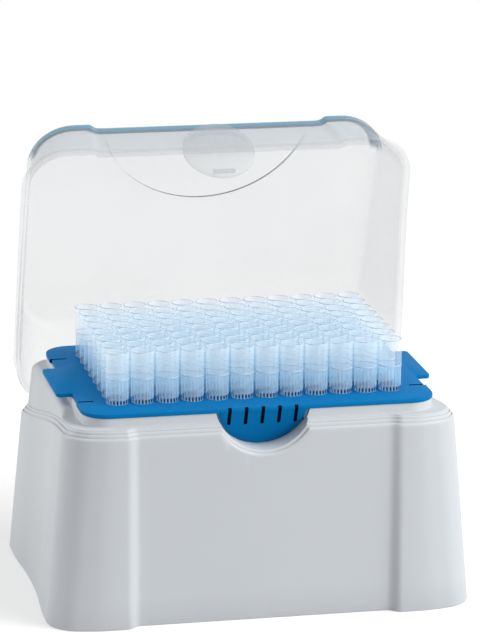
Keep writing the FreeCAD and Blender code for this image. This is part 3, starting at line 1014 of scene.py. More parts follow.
    def bead_loops(self) -> list[np.ndarray]:
        """Loops that step up and in over the beads, square to the wall's sloping edge.

        Returns:
            The loops from outside in.
        """
        edge = self.wall_loop(self.wall_top())
        out = np.column_stack([outward(edge), np.zeros(len(edge))])
        along = np.roll(edge, -1, axis=0) - np.roll(edge, 1, axis=0)
        up = np.cross(out, along)
        up /= np.linalg.norm(up, axis=1)[:, None]
        section = bead_profile(self.beads, self.groove, (0, 25, 50, 75, 90), self.bead_lift)
        return [edge + up * rise - out * inset for inset, rise in section]

    def shoulder_loops(self, ledge: np.ndarray) -> list[np.ndarray]:
        """Loops from the ledge up the shoulder and over its rounding to the deck.

        Args:
            ledge: Inner edge of the beads.

        Returns:
            The loops from outside in.
        """
        plan = self.deck.loop()
        out = outward(plan)
        level = self.deck_level(plan[:, 1])
        free = np.clip(1 + out[:, 1], 0.0, 1.0)
        grow = self.draft * free * (self.datum.plate_top - self.deck_drop - ledge[:, 2])
        foot = plan + out * grow[:, None]
        room = np.sum((ledge[:, :2] - foot) * out, axis=1) - self.ledge_gap
        shift = np.minimum(room, 0.0)[:, None]
        foot = foot + out * shift
        top = plan + out * shift
        height = level - ledge[:, 2]
        spare = np.sum((plan - self.collar.loop()) * out, axis=1) - self.collar_fillet - SEAM
        most = np.minimum(self.shoulder_share * height, spare)
        radius = np.clip(most, self.shoulder_least, self.shoulder_round)
        loops = [at_height(foot, ledge[:, 2] + 2 * self.bead_lift)]
        for across, up in quarter_round(0, 18, 36, 54, 72, 90):
            inset = (radius * across)[:, None]
            loops.append(at_height(top - out * inset, level - radius * (1 - up)))
        return loops

    def collar_loops(self) -> list[np.ndarray]:
        """Loops up the outside of the collar, over its top and down its inside.

        Returns:
            The loops from the collar's foot on.
        """
        plan = self.collar.loop()
        out = outward(plan)
        foot = self.deck_level(plan[:, 1])
        top = self.datum.plate_top - self.collar_drop
        fillet, bend = self.collar_fillet, self.collar_round
        near, over = fillet * FILLET_MIDDLE, bend * EDGE_MIDDLE
        inside = plan - self.collar_wall * out
        return [
            at_height(plan + fillet * out, foot),
            at_height(plan + near * out, foot + near),
            at_height(plan, foot + fillet),
            at_height(plan, top - bend),
            at_height(plan - over * out, top - over),
            at_height(plan - bend * out, top),
            at_height(inside, top),
            at_height(inside, self.ceiling(plan[:, 1])),
        ]

    def shell(self, grey: bpy.types.Material) -> bpy.types.Object:
        """Closed shell before anything is cut into it.

        Args:
            grey: Finish of the base.

        Returns:
            The shell.
        """
        top = self.wall_top()
        flat = np.zeros(len(top))
        chine = self.chine
        loops = [
            self.wall_loop(flat + self.rim_under, self.wall),
            self.wall_loop(flat, self.wall - self.rim_bevel),
            self.wall_loop(flat, chine),
            self.wall_loop(flat + self.chine_middle, self.chine_middle),
            self.wall_loop(flat + chine),
        ]
        for share in (0.15, 0.35, 0.55, 0.75, 0.9, 0.98):
            loops.append(self.wall_loop(chine + share * (top - chine)))
        beads = self.bead_loops()
        loops += beads
        loops += self.shoulder_loops(beads[-1])
        loops += self.collar_loops()
        deck = self.deck.loop()
        loops += [
            at_height(deck - self.wall * outward(deck), self.ceiling(deck[:, 1])),
            self.wall_loop(top - self.haunch, self.wall + self.haunch_in),
            self.wall_loop(top - 2 * self.haunch, self.wall),
            self.wall_loop(flat + self.floor_top, self.wall),
        ]
        skin = Skin()
        skin.solid(loops)
        return skin.build("base_shell", [grey])

    def scoop(self, grey: bpy.types.Material) -> bpy.types.Object:
        """Half-round wall behind the thumb recess, solid until the recess is cut.

        Args:
            grey: Finish of the base.

        Returns:
            The wall.
        """
        radius = self.recess_radius + self.recess_wall
        middle = self.datum.plate_top + self.recess_rise
        edge = middle - (self.datum.plate_top - self.deck_drop - self.wall + self.recess_lap)
        half = math.degrees(math.acos(edge / radius))
        profile = whole_arc((0, middle), radius, -90 - half, 2 * half, 40)
        skin = Skin()
        skin.solid([upright(profile, y) for y in (self.recess_front, self.recess_back)])
        return skin.build("scoop", [grey])

    def recess(self, grey: bpy.types.Material) -> bpy.types.Object:
        """Turned tool that cuts the thumb recess with its two beads.

        Args:
            grey: Finish of the base.

        Returns:
            The tool.
        """
        middle = self.datum.plate_top + self.recess_rise
        share = (middle - self.recess_radius) / (self.datum.plate_top - self.rim_drop)
        face = -(self.foot.front * (1 - share) + self.rim.front * share)
        face += self.foot.recess * (1 - share) + self.rim.recess * share
        widest = self.recess_radius + self.recess_beads[-1][1]
        profile = [(face - self.recess_clear, widest), (face - self.bead_lift, widest)]
        for inset, rise in bead_profile(self.recess_beads, self.groove, (20, 45, 70, 90)):
            profile.append((face + inset, widest - rise))
        profile.append((self.recess_back + self.recess_end, self.recess_radius))
        skin = Skin()
        skin.solid([upright(arc((0, middle), radius, 0, 360, 128), y) for y, radius in profile])
        return skin.build("recess", [grey])

    def pockets(self, grey: bpy.types.Material) -> bpy.types.Object:
        """Tool that opens the back wall for the lid's two ears.

        Args:
            grey: Finish of the base.

        Returns:
            The tool.
        """
        y, z = self.datum.hinge
        skin = Skin()
        for side in Side:
            x = side.value * self.hinge_x
            low = (x - self.pocket_half, y - self.pocket_turn, z - self.pocket_turn)
            skin.box(low, (x + self.pocket_half, y + self.pocket_depth, z + self.pocket_turn))
        return skin.build("pockets", [grey])

    def cheeks(self, grey: bpy.types.Material) -> bpy.types.Object:
        """Blocks that carry the lid's pin stubs on both sides of each pocket.

        Args:
            grey: Finish of the base.

        Returns:
            The blocks.
        """
        y, z = self.datum.hinge
        skin = Skin()
        for side in Side:
            for hand in Side:
                near = side.value * self.hinge_x + hand.value * self.pocket_half
                ends = sorted((near, near + hand.value * self.cheek))
                low = (ends[0], y + self.cheek_low[0], z + self.cheek_low[1])
                skin.box(low, (ends[1], y + self.cheek_high[0], z + self.cheek_high[1]))
        return skin.build("cheeks", [grey])

    def make(self, grey: bpy.types.Material) -> None:
        """Builds the base and puts it in place.

        Args:
            grey: Finish of the base.
        """
        piece = self.shell(grey)
        carve(piece, self.scoop(grey), Cut.JOIN)
        carve(piece, self.cheeks(grey), Cut.JOIN)
        carve(piece, self.recess(grey), Cut.TAKE)
        carve(piece, self.pockets(grey), Cut.TAKE)
        soften(piece)
        report(piece, "base", ["base"])


# ---- tip plate ------------------------------------------------------------
def rounded(corners: Sequence[tuple[float, float, float]], steps: int = 6) -> np.ndarray:
    """Closed outline with an arc at each corner.

    Args:
        corners: X, Y and radius of each corner.
        steps: Points on each arc.

    Returns:
        The outline's points.
    """
    points = []
    count = len(corners)
    for i, (x, y, radius) in enumerate(corners):
        here = np.array([x, y])
        before = np.array(corners[i - 1][:2]) - here
        after = np.array(corners[(i + 1) % count][:2]) - here
        before /= np.linalg.norm(before)
        after /= np.linalg.norm(after)
        if radius <= 0.0:
            points.append(here)
            continue
        half = math.acos(float(np.clip(before @ after, -1, 1))) / 2
        reach = radius / math.tan(half)
        first, last = here + before * reach, here + after * reach
        centre = here + (before + after) / np.linalg.norm(before + after) * radius / math.sin(half)
        from_angle = math.atan2(*(first - centre)[::-1])
        turn = (math.atan2(*(last - centre)[::-1]) - from_angle + math.pi) % (2 * math.pi) - math.pi
        for step in range(steps + 1):
            angle = from_angle + turn * step / steps
            points.append(centre + radius * np.array([math.cos(angle), math.sin(angle)]))
    return np.array(points)


def bar(ends: Sequence[float], edges: Sequence[float], radius: float, steps: int = 6) -> np.ndarray:
    """Outline of a rectangle with rounded corners.

    Args:
        ends: Its left and right ends.
        edges: Its lower and upper edges.
        radius: Radius of its corners.
        steps: Points on each arc.

    Returns:
        The outline's points.
    """
    (left, right), (low, high) = ends, edges
    return rounded([(x, y, radius) for x, y in ((left, low), (right, low), (right, high), (left, high))], steps)


def shrunk(loop: np.ndarray, inset: float) -> np.ndarray:
    """Moves a flat anticlockwise loop inwards, with its corners mitred.

    Args:
        loop: Points of the loop; only X and Y are used.
        inset: How far inwards.

    Returns:
        The moved points.
    """
    plan = loop[:, :2]
    ahead = np.roll(plan, -1, axis=0) - plan
    ahead /= np.linalg.norm(ahead, axis=1)[:, None]
    behind = np.roll(ahead, 1, axis=0)
    out = outward(plan)
    cosine = np.sqrt(np.clip((1 + np.sum(ahead * behind, axis=1)) / 2, 0.2, 1.0))
    return plan - out * (inset / cosine)[:, None]


def slab_loops(outline: np.ndarray, low: float, high: float, edge: float) -> list[np.ndarray]:
    """Loops of a slab with small rounded edges.

    Args:
        outline: The slab's outline.
        low: Height of its underside.
        high: Height of its top.
        edge: Radius of its edges.

    Returns:
        The loops from the underside up.
    """
    bends = [(shrunk(outline, edge * across), edge * (1 - up)) for across, up in quarter_round(90, 45, 0)]
    loops = [at_height(loop, low + rise) for loop, rise in bends]
    return loops + [at_height(loop, high - rise) for loop, rise in reversed(bends)]


@dataclass
class TipPlate:
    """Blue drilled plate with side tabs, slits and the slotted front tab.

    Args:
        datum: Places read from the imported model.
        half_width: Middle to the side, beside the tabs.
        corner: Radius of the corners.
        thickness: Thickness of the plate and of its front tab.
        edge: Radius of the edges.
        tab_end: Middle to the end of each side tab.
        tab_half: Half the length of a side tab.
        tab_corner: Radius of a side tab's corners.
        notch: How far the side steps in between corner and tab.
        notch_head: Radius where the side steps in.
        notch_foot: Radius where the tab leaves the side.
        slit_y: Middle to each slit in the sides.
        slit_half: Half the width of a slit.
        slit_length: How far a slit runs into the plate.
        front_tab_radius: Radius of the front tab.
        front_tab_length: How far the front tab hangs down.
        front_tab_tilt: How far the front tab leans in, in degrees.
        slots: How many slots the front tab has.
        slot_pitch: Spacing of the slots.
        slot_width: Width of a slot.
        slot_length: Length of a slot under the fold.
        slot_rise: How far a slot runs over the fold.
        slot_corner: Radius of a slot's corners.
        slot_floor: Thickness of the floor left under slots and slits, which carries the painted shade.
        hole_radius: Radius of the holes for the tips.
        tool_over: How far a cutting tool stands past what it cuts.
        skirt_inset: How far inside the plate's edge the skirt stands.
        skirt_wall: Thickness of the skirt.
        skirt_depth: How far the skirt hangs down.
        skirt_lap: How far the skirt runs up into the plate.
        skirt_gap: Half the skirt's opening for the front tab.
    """

    datum: Datum
    half_width: float = 63.7
    corner: float = 9.5
    thickness: float = 1.5
    edge: float = 0.25
    tab_end: float = 68.6
    tab_half: float = 16.7
    tab_corner: float = 1.6
    notch: float = 0.7
    notch_head: float = 0.5
    notch_foot: float = 0.8
    slit_y: float = 28.5
    slit_half: float = 0.55
    slit_length: float = 6.2
    front_tab_radius: float = 15.9
    front_tab_length: float = 15.0
    front_tab_tilt: float = 22.0
    slots: int = 5
    slot_pitch: float = 6.0
    slot_width: float = 1.3
    slot_length: float = 6.4
    slot_rise: float = 1.5
    slot_corner: float = 0.3
    slot_floor: float = 0.25
    hole_radius: float = 3.55
    tool_over: float = 1.0
    skirt_inset: float = 2.7
    skirt_wall: float = 1.6
    skirt_depth: float = 8.0
    skirt_lap: float = 0.2
    skirt_gap: float = 21.0

    def outline(self) -> np.ndarray:
        """Outline of the plate seen from above.

        Returns:
            Its points, anticlockwise.
        """
        w, d = self.half_width, self.datum.plate_half_depth
        quarter = [
            (w, -d, self.corner),
            (w, -self.slit_y, self.notch_head),
            (w - self.notch, -self.slit_y, 0.0),
            (w - self.notch, -self.tab_half, self.notch_foot),
            (self.tab_end, -self.tab_half, self.tab_corner),
        ]
        right = quarter + [(x, -y, r) for x, y, r in reversed(quarter)]
        return rounded(right + [(-x, y, r) for x, y, r in reversed(right)])

    def tilt(self, loop: np.ndarray) -> np.ndarray:
        """Turns points drawn on the upright plane Y = 0 to lie on the front tab.

        Args:
            loop: The drawn points.

        Returns:
            The turned points.
        """
        angle = math.radians(self.front_tab_tilt)
        y = loop[:, 1] * math.cos(angle) - loop[:, 2] * math.sin(angle)
        z = loop[:, 1] * math.sin(angle) + loop[:, 2] * math.cos(angle)
        fold = self.datum.plate_top - self.thickness / 2
        return np.column_stack([loop[:, 0], y - self.datum.plate_half_depth, z + fold])

    def front_tab(self, blue: bpy.types.Material) -> bpy.types.Object:
        """Half-round tab that leans into the rack.

        Args:
            blue: Finish of the plate.

        Returns:
            The tab.
        """
        centre = self.front_tab_radius - self.front_tab_length
        half = math.degrees(math.acos(-centre / self.front_tab_radius)) - 90
        outline = whole_arc((0, centre), self.front_tab_radius, -180 + half, 180 - 2 * half, 48)
        flats = slab_loops(outline, 0.0, self.thickness, self.edge)
        skin = Skin()
        skin.solid([self.tilt(upright(flat, flat[:, 2])) for flat in flats])
        return skin.build("front_tab", [blue])

    def slot_tool(self, shade: bpy.types.Material) -> bpy.types.Object:
        """Tool for the slots and the side slits, which leaves a thin floor painted near-black as painted shade.

        Args:
            shade: Painted shade inside the slots.

        Returns:
            The tool.
        """
        skin = Skin()
        for i in range(self.slots):
            x = (i - (self.slots - 1) / 2) * self.slot_pitch
            ends = (x - self.slot_width / 2, x + self.slot_width / 2)
            corners = bar(ends, (-self.slot_length, self.slot_rise), self.slot_corner, 3)
            depths = (-self.thickness, self.thickness - self.slot_floor)
            skin.solid([self.tilt(upright(corners, y)) for y in depths])
        floor = self.datum.plate_top - self.thickness + self.slot_floor
        reaches = (self.half_width - self.slit_length, self.half_width + self.tool_over)
        for side in Side:
            ends = sorted(side.value * reach for reach in reaches)
            for y in (-self.slit_y, self.slit_y):
                high = (ends[1], y + self.slit_half, self.datum.plate_top + self.tool_over)
                skin.box((ends[0], y - self.slit_half, floor), high)
        return skin.build("slots", [shade])

    def hole_tool(self, blue: bpy.types.Material) -> bpy.types.Object:
        """Tool for the holes that the tips hang in.

        Args:
            blue: Finish of the plate.

        Returns:
            The tool.
        """
        skin = Skin()
        turn = arc((0, 0), self.hole_radius, 0, 360, 20)
        top = self.datum.plate_top
        ends = (top - self.thickness - self.tool_over, top + self.tool_over)
        for place in tip_places(self.datum):
            skin.solid([at_height(turn + place, end) for end in ends])
        return skin.build("holes", [blue])

    def skirt(self, blue: bpy.types.Material) -> bpy.types.Object:
        """Wall under the plate that sits inside the base's collar.

        Args:
            blue: Finish of the plate.

        Returns:
            The wall.
        """
        depth = self.datum.plate_half_depth - self.skirt_inset
        width = self.half_width - self.skirt_inset
        radius = self.corner - self.skirt_inset
        plan = Plan(width, depth, depth, radius).loop()
        top = self.datum.plate_top - self.thickness + self.skirt_lap
        low = top - self.skirt_depth
        inner = plan - self.skirt_wall * outward(plan)
        keep = (np.abs(plan[:, 0]) > self.skirt_gap) | (plan[:, 1] > 0)
        start = int(np.argmax(keep))
        order = np.roll(np.arange(len(plan)), -start)[: int(keep.sum())]
        skin = Skin()
        section = ((plan, low), (inner, low), (inner, top), (plan, top))
        rows = [skin.ring(at_height(loop[order], height)) for loop, height in section]
        for first, second in zip(rows, rows[1:] + rows[:1]):
            skin.band(first, second, closed=False)
        for end in (0, -1):
            skin.face([row[end] for row in rows])
        return skin.build("skirt", [blue])

    def make(self, blue: bpy.types.Material, shade: bpy.types.Material) -> None:
        """Builds the plate and puts it in place.

        Args:
            blue: Finish of the plate.
            shade: Painted shade inside the slots.
        """
        skin = Skin()
        top = self.datum.plate_top
        skin.solid(slab_loops(self.outline(), top - self.thickness, top, self.edge))
        piece = skin.build("tip_plate_moulding", [blue])
        carve(piece, self.front_tab(blue), Cut.JOIN)
        carve(piece, self.skirt(blue), Cut.JOIN)
        carve(piece, self.slot_tool(shade), Cut.TAKE)
        carve(piece, self.hole_tool(blue), Cut.TAKE)
        soften(piece)
        report(piece, "base", ["tip_plate"])


# ---- tips -----------------------------------------------------------------
COLUMNS = 12
ROWS = 8


def tip_places(datum: Datum) -> list[tuple[float, float]]:
    """Middles of all tips, column by column from the left, each from the front."""
    x, y = datum.first_tip
    return [(x + c * datum.pitch, y + r * datum.pitch) for c in range(COLUMNS) for r in range(ROWS)]


@dataclass
class Tips:
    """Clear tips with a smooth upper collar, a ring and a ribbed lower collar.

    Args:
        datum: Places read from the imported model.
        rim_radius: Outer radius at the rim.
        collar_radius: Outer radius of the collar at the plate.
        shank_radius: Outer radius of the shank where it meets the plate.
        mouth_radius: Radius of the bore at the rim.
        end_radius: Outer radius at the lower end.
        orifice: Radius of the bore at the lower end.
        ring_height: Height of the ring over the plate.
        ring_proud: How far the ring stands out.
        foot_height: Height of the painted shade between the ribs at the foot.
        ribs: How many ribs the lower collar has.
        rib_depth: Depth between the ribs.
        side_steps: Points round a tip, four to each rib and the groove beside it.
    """

    datum: Datum
    rim_radius: float = 4.2
    collar_radius: float = 4.05
    shank_radius: float = 3.4
    mouth_radius: float = 3.75
    end_radius: float = 0.85
    orifice: float = 0.4
    ring_height: float = 9.2
    ring_proud: float = 0.12
    foot_height: float = 1.5
    ribs: int = 20
    rib_depth: float = 0.28
    side_steps: int = 80

    def between_ribs(self) -> np.ndarray:
        """Which points round the lower collar lie between two ribs."""
        return np.isin(np.arange(self.side_steps) % (self.side_steps // self.ribs), (1, 2))

    def loop(self, radius: float, height: float, groove: float = 0.0) -> np.ndarray:
        """One ring of a tip, with ribs where the groove is deeper than nothing.

        Args:
            radius: Outer radius.
            height: Above the plate.
            groove: Depth between the ribs.

        Returns:
            The ring's points, round the tip's own axis.
        """
        angle = 2 * math.pi * (np.arange(self.side_steps) / self.side_steps)
        reach = radius - groove * self.between_ribs()
        return at_height(np.column_stack([reach * np.cos(angle), reach * np.sin(angle)]), height)

    def rows(self) -> list[tuple[float, float, float, TipFinish]]:
        """Rings of a tip, from the lower end up the outside and back down the bore.

        Returns:
            Radius, height above the plate, groove and the finish of the band that follows.
        """
        stand = self.datum.tip_rim - self.datum.plate_top
        low = self.datum.tip_end - self.datum.plate_top
        ring = self.ring_height
        collar, rim, mouth = self.collar_radius, self.rim_radius, self.mouth_radius
        wall, bore, lip, foot = TipFinish
        return [
            (self.end_radius, low, 0.0, wall),
            (self.shank_radius, 0.0, 0.0, wall),
            (collar - 0.1, 0.02, 0.0, wall),
            (collar, 0.1, self.rib_depth, foot),
            (collar, self.foot_height, self.rib_depth, wall),
            (collar + 0.03, ring - 0.9, self.rib_depth, wall),
            (collar + 0.04, ring - 0.5, 0.0, wall),
            (collar + self.ring_proud, ring - 0.2, 0.0, lip),
            (collar + self.ring_proud, ring + 0.1, 0.0, wall),
            (collar - 0.02, ring + 0.35, 0.0, wall),
            (collar + 0.04, ring + 0.7, 0.0, wall),
            (rim - 0.04, stand - 1.0, 0.0, wall),
            (rim, stand - 0.25, 0.0, lip),
            (rim - 0.08, stand - 0.05, 0.0, lip),
            (rim - 0.2, stand, 0.0, lip),
            (mouth + 0.12, stand, 0.0, lip),
            (mouth, stand - 0.15, 0.0, bore),
            (mouth - 0.05, stand - 1.5, 0.0, bore),
            (mouth - 0.55, ring - 1.0, 0.0, bore),
            (self.shank_radius - 0.6, -1.0, 0.0, bore),
            (self.orifice, low, 0.0, wall),
        ]

    def tip(self, skin: Skin, x: float, y: float) -> None:
        """Adds one tip to a mesh.

        Args:
            skin: The mesh.
            x: The tip's place across the rack.
            y: The tip's place along the rack.
        """
        rows = self.rows()
        place = np.array([x, y, self.datum.plate_top])
        rings = [skin.ring(self.loop(r, z, g) + place, 1.0 if g else 0.0) for r, z, g, _ in rows]
        rings.append(rings[0])
        for (_, _, _, finish), low, high in zip(rows, rings, rings[1:]):
            if finish != TipFinish.FOOT:
                skin.band(low, high, finish)
                continue
            # Faces between the ribs take the painted shade, the ribs the wall's finish.
            for i, between in enumerate(self.between_ribs()):
                j = (i + 1) % self.side_steps
                mark = TipFinish.FOOT if between else TipFinish.WALL
                skin.face((low[i], low[j], high[j], high[i]), mark)

    def make(self, finishes: Sequence[bpy.types.Material]) -> None:
        """Builds the twelve columns of tips.

        Args:
            finishes: In the order of TipFinish.
        """
        places = tip_places(self.datum)
        for column in range(COLUMNS):
            skin = Skin()
            for x, y in places[column * ROWS:(column + 1) * ROWS]:
                self.tip(skin, x, y)
            number = column + 1
            piece = skin.build(f"tips_{number:02d}", finishes)
            soften(piece, TIP_SMOOTH_ANGLE)
            report(piece, "base", [f"tips_column_{number:02d}"])


# ---- lid ------------------------------------------------------------------
FOLD_LOOP = 4  # the first loop of the walls that takes the fold's finish


@dataclass
class Lid:
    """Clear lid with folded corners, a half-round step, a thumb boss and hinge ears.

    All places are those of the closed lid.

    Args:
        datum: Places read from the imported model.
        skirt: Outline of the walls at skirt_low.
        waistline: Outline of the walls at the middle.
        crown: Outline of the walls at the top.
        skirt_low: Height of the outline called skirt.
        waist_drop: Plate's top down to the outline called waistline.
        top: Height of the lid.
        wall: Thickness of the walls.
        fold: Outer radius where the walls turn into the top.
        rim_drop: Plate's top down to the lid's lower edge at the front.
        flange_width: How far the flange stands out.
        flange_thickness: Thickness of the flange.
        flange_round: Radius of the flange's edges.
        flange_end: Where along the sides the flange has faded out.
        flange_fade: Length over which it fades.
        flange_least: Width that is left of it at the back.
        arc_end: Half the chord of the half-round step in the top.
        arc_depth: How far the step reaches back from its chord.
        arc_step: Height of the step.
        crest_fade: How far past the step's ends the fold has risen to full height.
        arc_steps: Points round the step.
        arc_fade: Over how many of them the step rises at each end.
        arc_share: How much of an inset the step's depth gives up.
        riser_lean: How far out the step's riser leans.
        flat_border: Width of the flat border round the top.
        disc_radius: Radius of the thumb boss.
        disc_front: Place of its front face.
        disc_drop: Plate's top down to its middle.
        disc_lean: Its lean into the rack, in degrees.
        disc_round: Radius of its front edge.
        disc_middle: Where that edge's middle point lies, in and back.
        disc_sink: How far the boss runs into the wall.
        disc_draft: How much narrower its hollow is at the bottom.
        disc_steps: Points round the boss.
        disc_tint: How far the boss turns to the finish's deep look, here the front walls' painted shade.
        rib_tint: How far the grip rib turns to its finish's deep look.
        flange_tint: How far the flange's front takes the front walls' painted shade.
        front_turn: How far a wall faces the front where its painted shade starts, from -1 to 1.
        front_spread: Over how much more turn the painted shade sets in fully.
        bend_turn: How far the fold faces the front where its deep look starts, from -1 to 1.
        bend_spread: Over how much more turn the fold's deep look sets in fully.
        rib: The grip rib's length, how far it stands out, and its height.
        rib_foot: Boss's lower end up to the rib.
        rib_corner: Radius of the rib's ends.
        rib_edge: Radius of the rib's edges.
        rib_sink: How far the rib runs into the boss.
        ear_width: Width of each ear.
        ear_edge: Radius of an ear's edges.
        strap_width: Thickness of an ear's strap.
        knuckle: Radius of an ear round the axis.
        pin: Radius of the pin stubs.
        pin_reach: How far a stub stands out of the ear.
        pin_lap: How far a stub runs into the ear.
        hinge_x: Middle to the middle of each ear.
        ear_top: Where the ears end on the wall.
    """

    datum: Datum
    skirt: Plan = Plan(73.33, 51.0, 51.2, 15.0, 1.3, 0.0, 44.0, 4.0)
    waistline: Plan = Plan(71.3, 51.0, 51.2, 15.0, 1.3, 0.0, 44.0, 4.0)
    crown: Plan = Plan(66.6, 46.0, 48.6, 17.0, 1.3, 0.0, 40.8, 4.0)
    skirt_low: float = 52.0
    waist_drop: float = 4.4
    top: float = 98.7
    wall: float = 1.2
    fold: float = 3.5
    rim_drop: float = 4.2
    flange_width: float = 1.6
    flange_thickness: float = 1.2
    flange_round: float = 0.3
    flange_end: float = 38.0
    flange_fade: float = 5.0
    flange_least: float = 0.02
    arc_end: float = 39.6
    arc_depth: float = 31.2
    arc_step: float = 1.1
    crest_fade: float = 5.5
    arc_steps: int = 72
    arc_fade: float = 6.0
    arc_share: float = 0.6
    riser_lean: float = 0.3
    flat_border: float = 0.3
    disc_radius: float = 13.4
    disc_front: float = -50.3
    disc_drop: float = 0.8
    disc_lean: float = 10.0
    disc_round: float = 0.7
    disc_middle: float = 0.2
    disc_sink: float = 0.5
    disc_draft: float = 0.02
    disc_steps: int = 96
    disc_tint: float = 0.4
    rib_tint: float = 0.2
    flange_tint: float = 0.1
    front_turn: float = 0.15
    front_spread: float = 0.6
    bend_turn: float = 0.02
    bend_spread: float = 0.25
    rib: tuple[float, float, float] = (8.5, 0.5, 1.6)
    rib_foot: float = 1.4
    rib_corner: float = 0.6
    rib_edge: float = 0.2
    rib_sink: float = 0.3
    ear_width: float = 8.0
    ear_edge: float = 0.3
    strap_width: float = 1.7
    knuckle: float = 2.5
    pin: float = 1.25
    pin_reach: float = 2.4
    pin_lap: float = 0.2
    hinge_x: float = 44.0
    ear_top: float = 60.3

    def plan_at(self, height: np.ndarray) -> np.ndarray:
        """Outline of the walls with a height for each point.

        Args:
            height: One height a point.

        Returns:
            The outline's points, seen from above.
        """
        middle = self.datum.plate_top - self.waist_drop
        low, mid, high = self.skirt.loop(), self.waistline.loop(), self.crown.loop()
        below = ((height - self.skirt_low) / (middle - self.skirt_low))[:, None]
        above = ((height - middle) / (self.top - middle))[:, None]
        return np.where(above < 0, low + (mid - low) * below, mid + (high - mid) * above)

    def rim_level(self, base: BaseShell) -> np.ndarray:
        """Height of the lid's lower edge at each point, which follows the ledge."""
        return self.datum.plate_top - self.rim_drop - base.drop(self.waistline.loop()[:, 1])

    def crest(self) -> np.ndarray:
        """How far the fold is lowered at each point by the half-round step.

        Returns:
            One drop for each point of the outline.
        """
        x = np.abs(self.crown.loop()[:, 0])
        front = self.crown.loop()[:, 1] < 0
        return np.where(front, self.arc_step * (1 - smooth((x - self.arc_end) / self.crest_fade)), 0.0)

    def wall_loops(self, base: BaseShell, inset: float) -> list[np.ndarray]:
        """Loops of one side of the shell, from the rim up to the flat top.

        Args:
            base: The base, whose ledge the rim follows.
            inset: Zero for the outside, the wall for the inside.

        Returns:
            The loops.
        """
        low = self.rim_level(base)
        radius = self.fold - inset
        shoulder = self.top - self.fold - self.crest()
        loops = []
        for share in (0.0, 0.3, 0.6, 0.85, 0.93, 1.0):
            height = low + (shoulder - low) * share
            plan = self.plan_at(height)
            loops.append(at_height(plan - inset * outward(plan), height))
        plan = self.plan_at(shoulder)
        out = outward(plan)
        for across, up in quarter_round(15, 30, 45, 60, 75, 90):
            loops.append(at_height(plan - out * (inset + radius * across), shoulder + radius * up))
        return loops

    def close_top(self, skin: Skin, edge: list[int], inset: float, riser: LidFinish) -> None:
        """Fills the flat top with its half-round step.

        Args:
            skin: The mesh.
            edge: Last loop of the fold.
            inset: Zero for the outside, the wall for the inside.
            riser: Finish of the step's riser.
        """
        places = np.array([skin.points[i] for i in edge])
        places[:, :2] -= self.flat_border * outward(places)
        ring = skin.ring(places)
        skin.band(edge, ring)
        count = len(ring)
        right = max(i for i in range(count // 4) if places[i, 0] <= self.arc_end)
        front = [ring[i % count] for i in range(-right, right + 1)]
        rest = ring[right:count - right + 1]
        half, chord_y = places[right, 0], places[right, 1]
        depth = self.arc_depth - self.arc_share * inset
        radius = (half * half + depth * depth) / (2 * depth)
        centre = chord_y + depth - radius
        reach = math.degrees(math.atan2(chord_y - centre, half))
        turn = arc((0, centre), radius, reach, 180 - 2 * reach, self.arc_steps)[1:]
        along = np.arange(1, self.arc_steps)
        share = smooth(np.minimum(along, along[::-1]) / self.arc_fade)
        level = places[right, 2]
        low = skin.ring(at_height(turn, level))
        out = turn + self.riser_lean * share[:, None] * (turn - (0, centre)) / radius
        high = skin.ring(at_height(out, level + share * (self.top - inset - level)))
        skin.face(front + low)
        skin.face((front[-1], low[0], high[0]))
        skin.band(low, high, riser, closed=False)
        skin.face((low[-1], front[0], high[-1]))
        skin.ladder([front[-1]] + high + [front[0]], rest)

    def turned(self, piece: bpy.types.Object) -> bpy.types.Object:
        """Swings a piece that was built closed back to the open stop.

        Args:
            piece: The piece.

        Returns:
            The same piece.
        """
        y, z = (MM * c for c in self.datum.hinge)
        swing = Matrix.Rotation(math.radians(-self.datum.open_angle), 4, "X")
        axis = Matrix.Translation((0, y, z))
        piece.data.transform(axis @ swing @ axis.inverted())
        return piece

    def shell(self, base: BaseShell, finishes: Sequence[bpy.types.Material]) -> bpy.types.Object:
        """Thin shell with its flange.

        Args:
            base: The base, whose ledge the rim follows.
            finishes: In the order of LidFinish.

        Returns:
            The shell, closed.
        """
        plain, fold, crease = LidFinish
        outer = self.wall_loops(base, 0.0)
        inner = self.wall_loops(base, self.wall)
        low = self.rim_level(base)
        plan = outer[0][:, :2]
        out = outward(plan)
        shown = smooth((self.flange_end - plan[:, 1]) / self.flange_fade)[:, None]
        width = self.flange_width * shown + self.flange_least
        thick = low + self.flange_thickness
        bevel = plan + out * (width - self.flange_round)
        flange = [
            at_height(bevel, low),
            at_height(plan + out * width, low + self.flange_round),
            at_height(plan + out * width, thick - self.flange_round),
            at_height(bevel, thick),
            at_height(plan + out * 0.75 * self.flange_least, thick + self.flange_least),
        ]
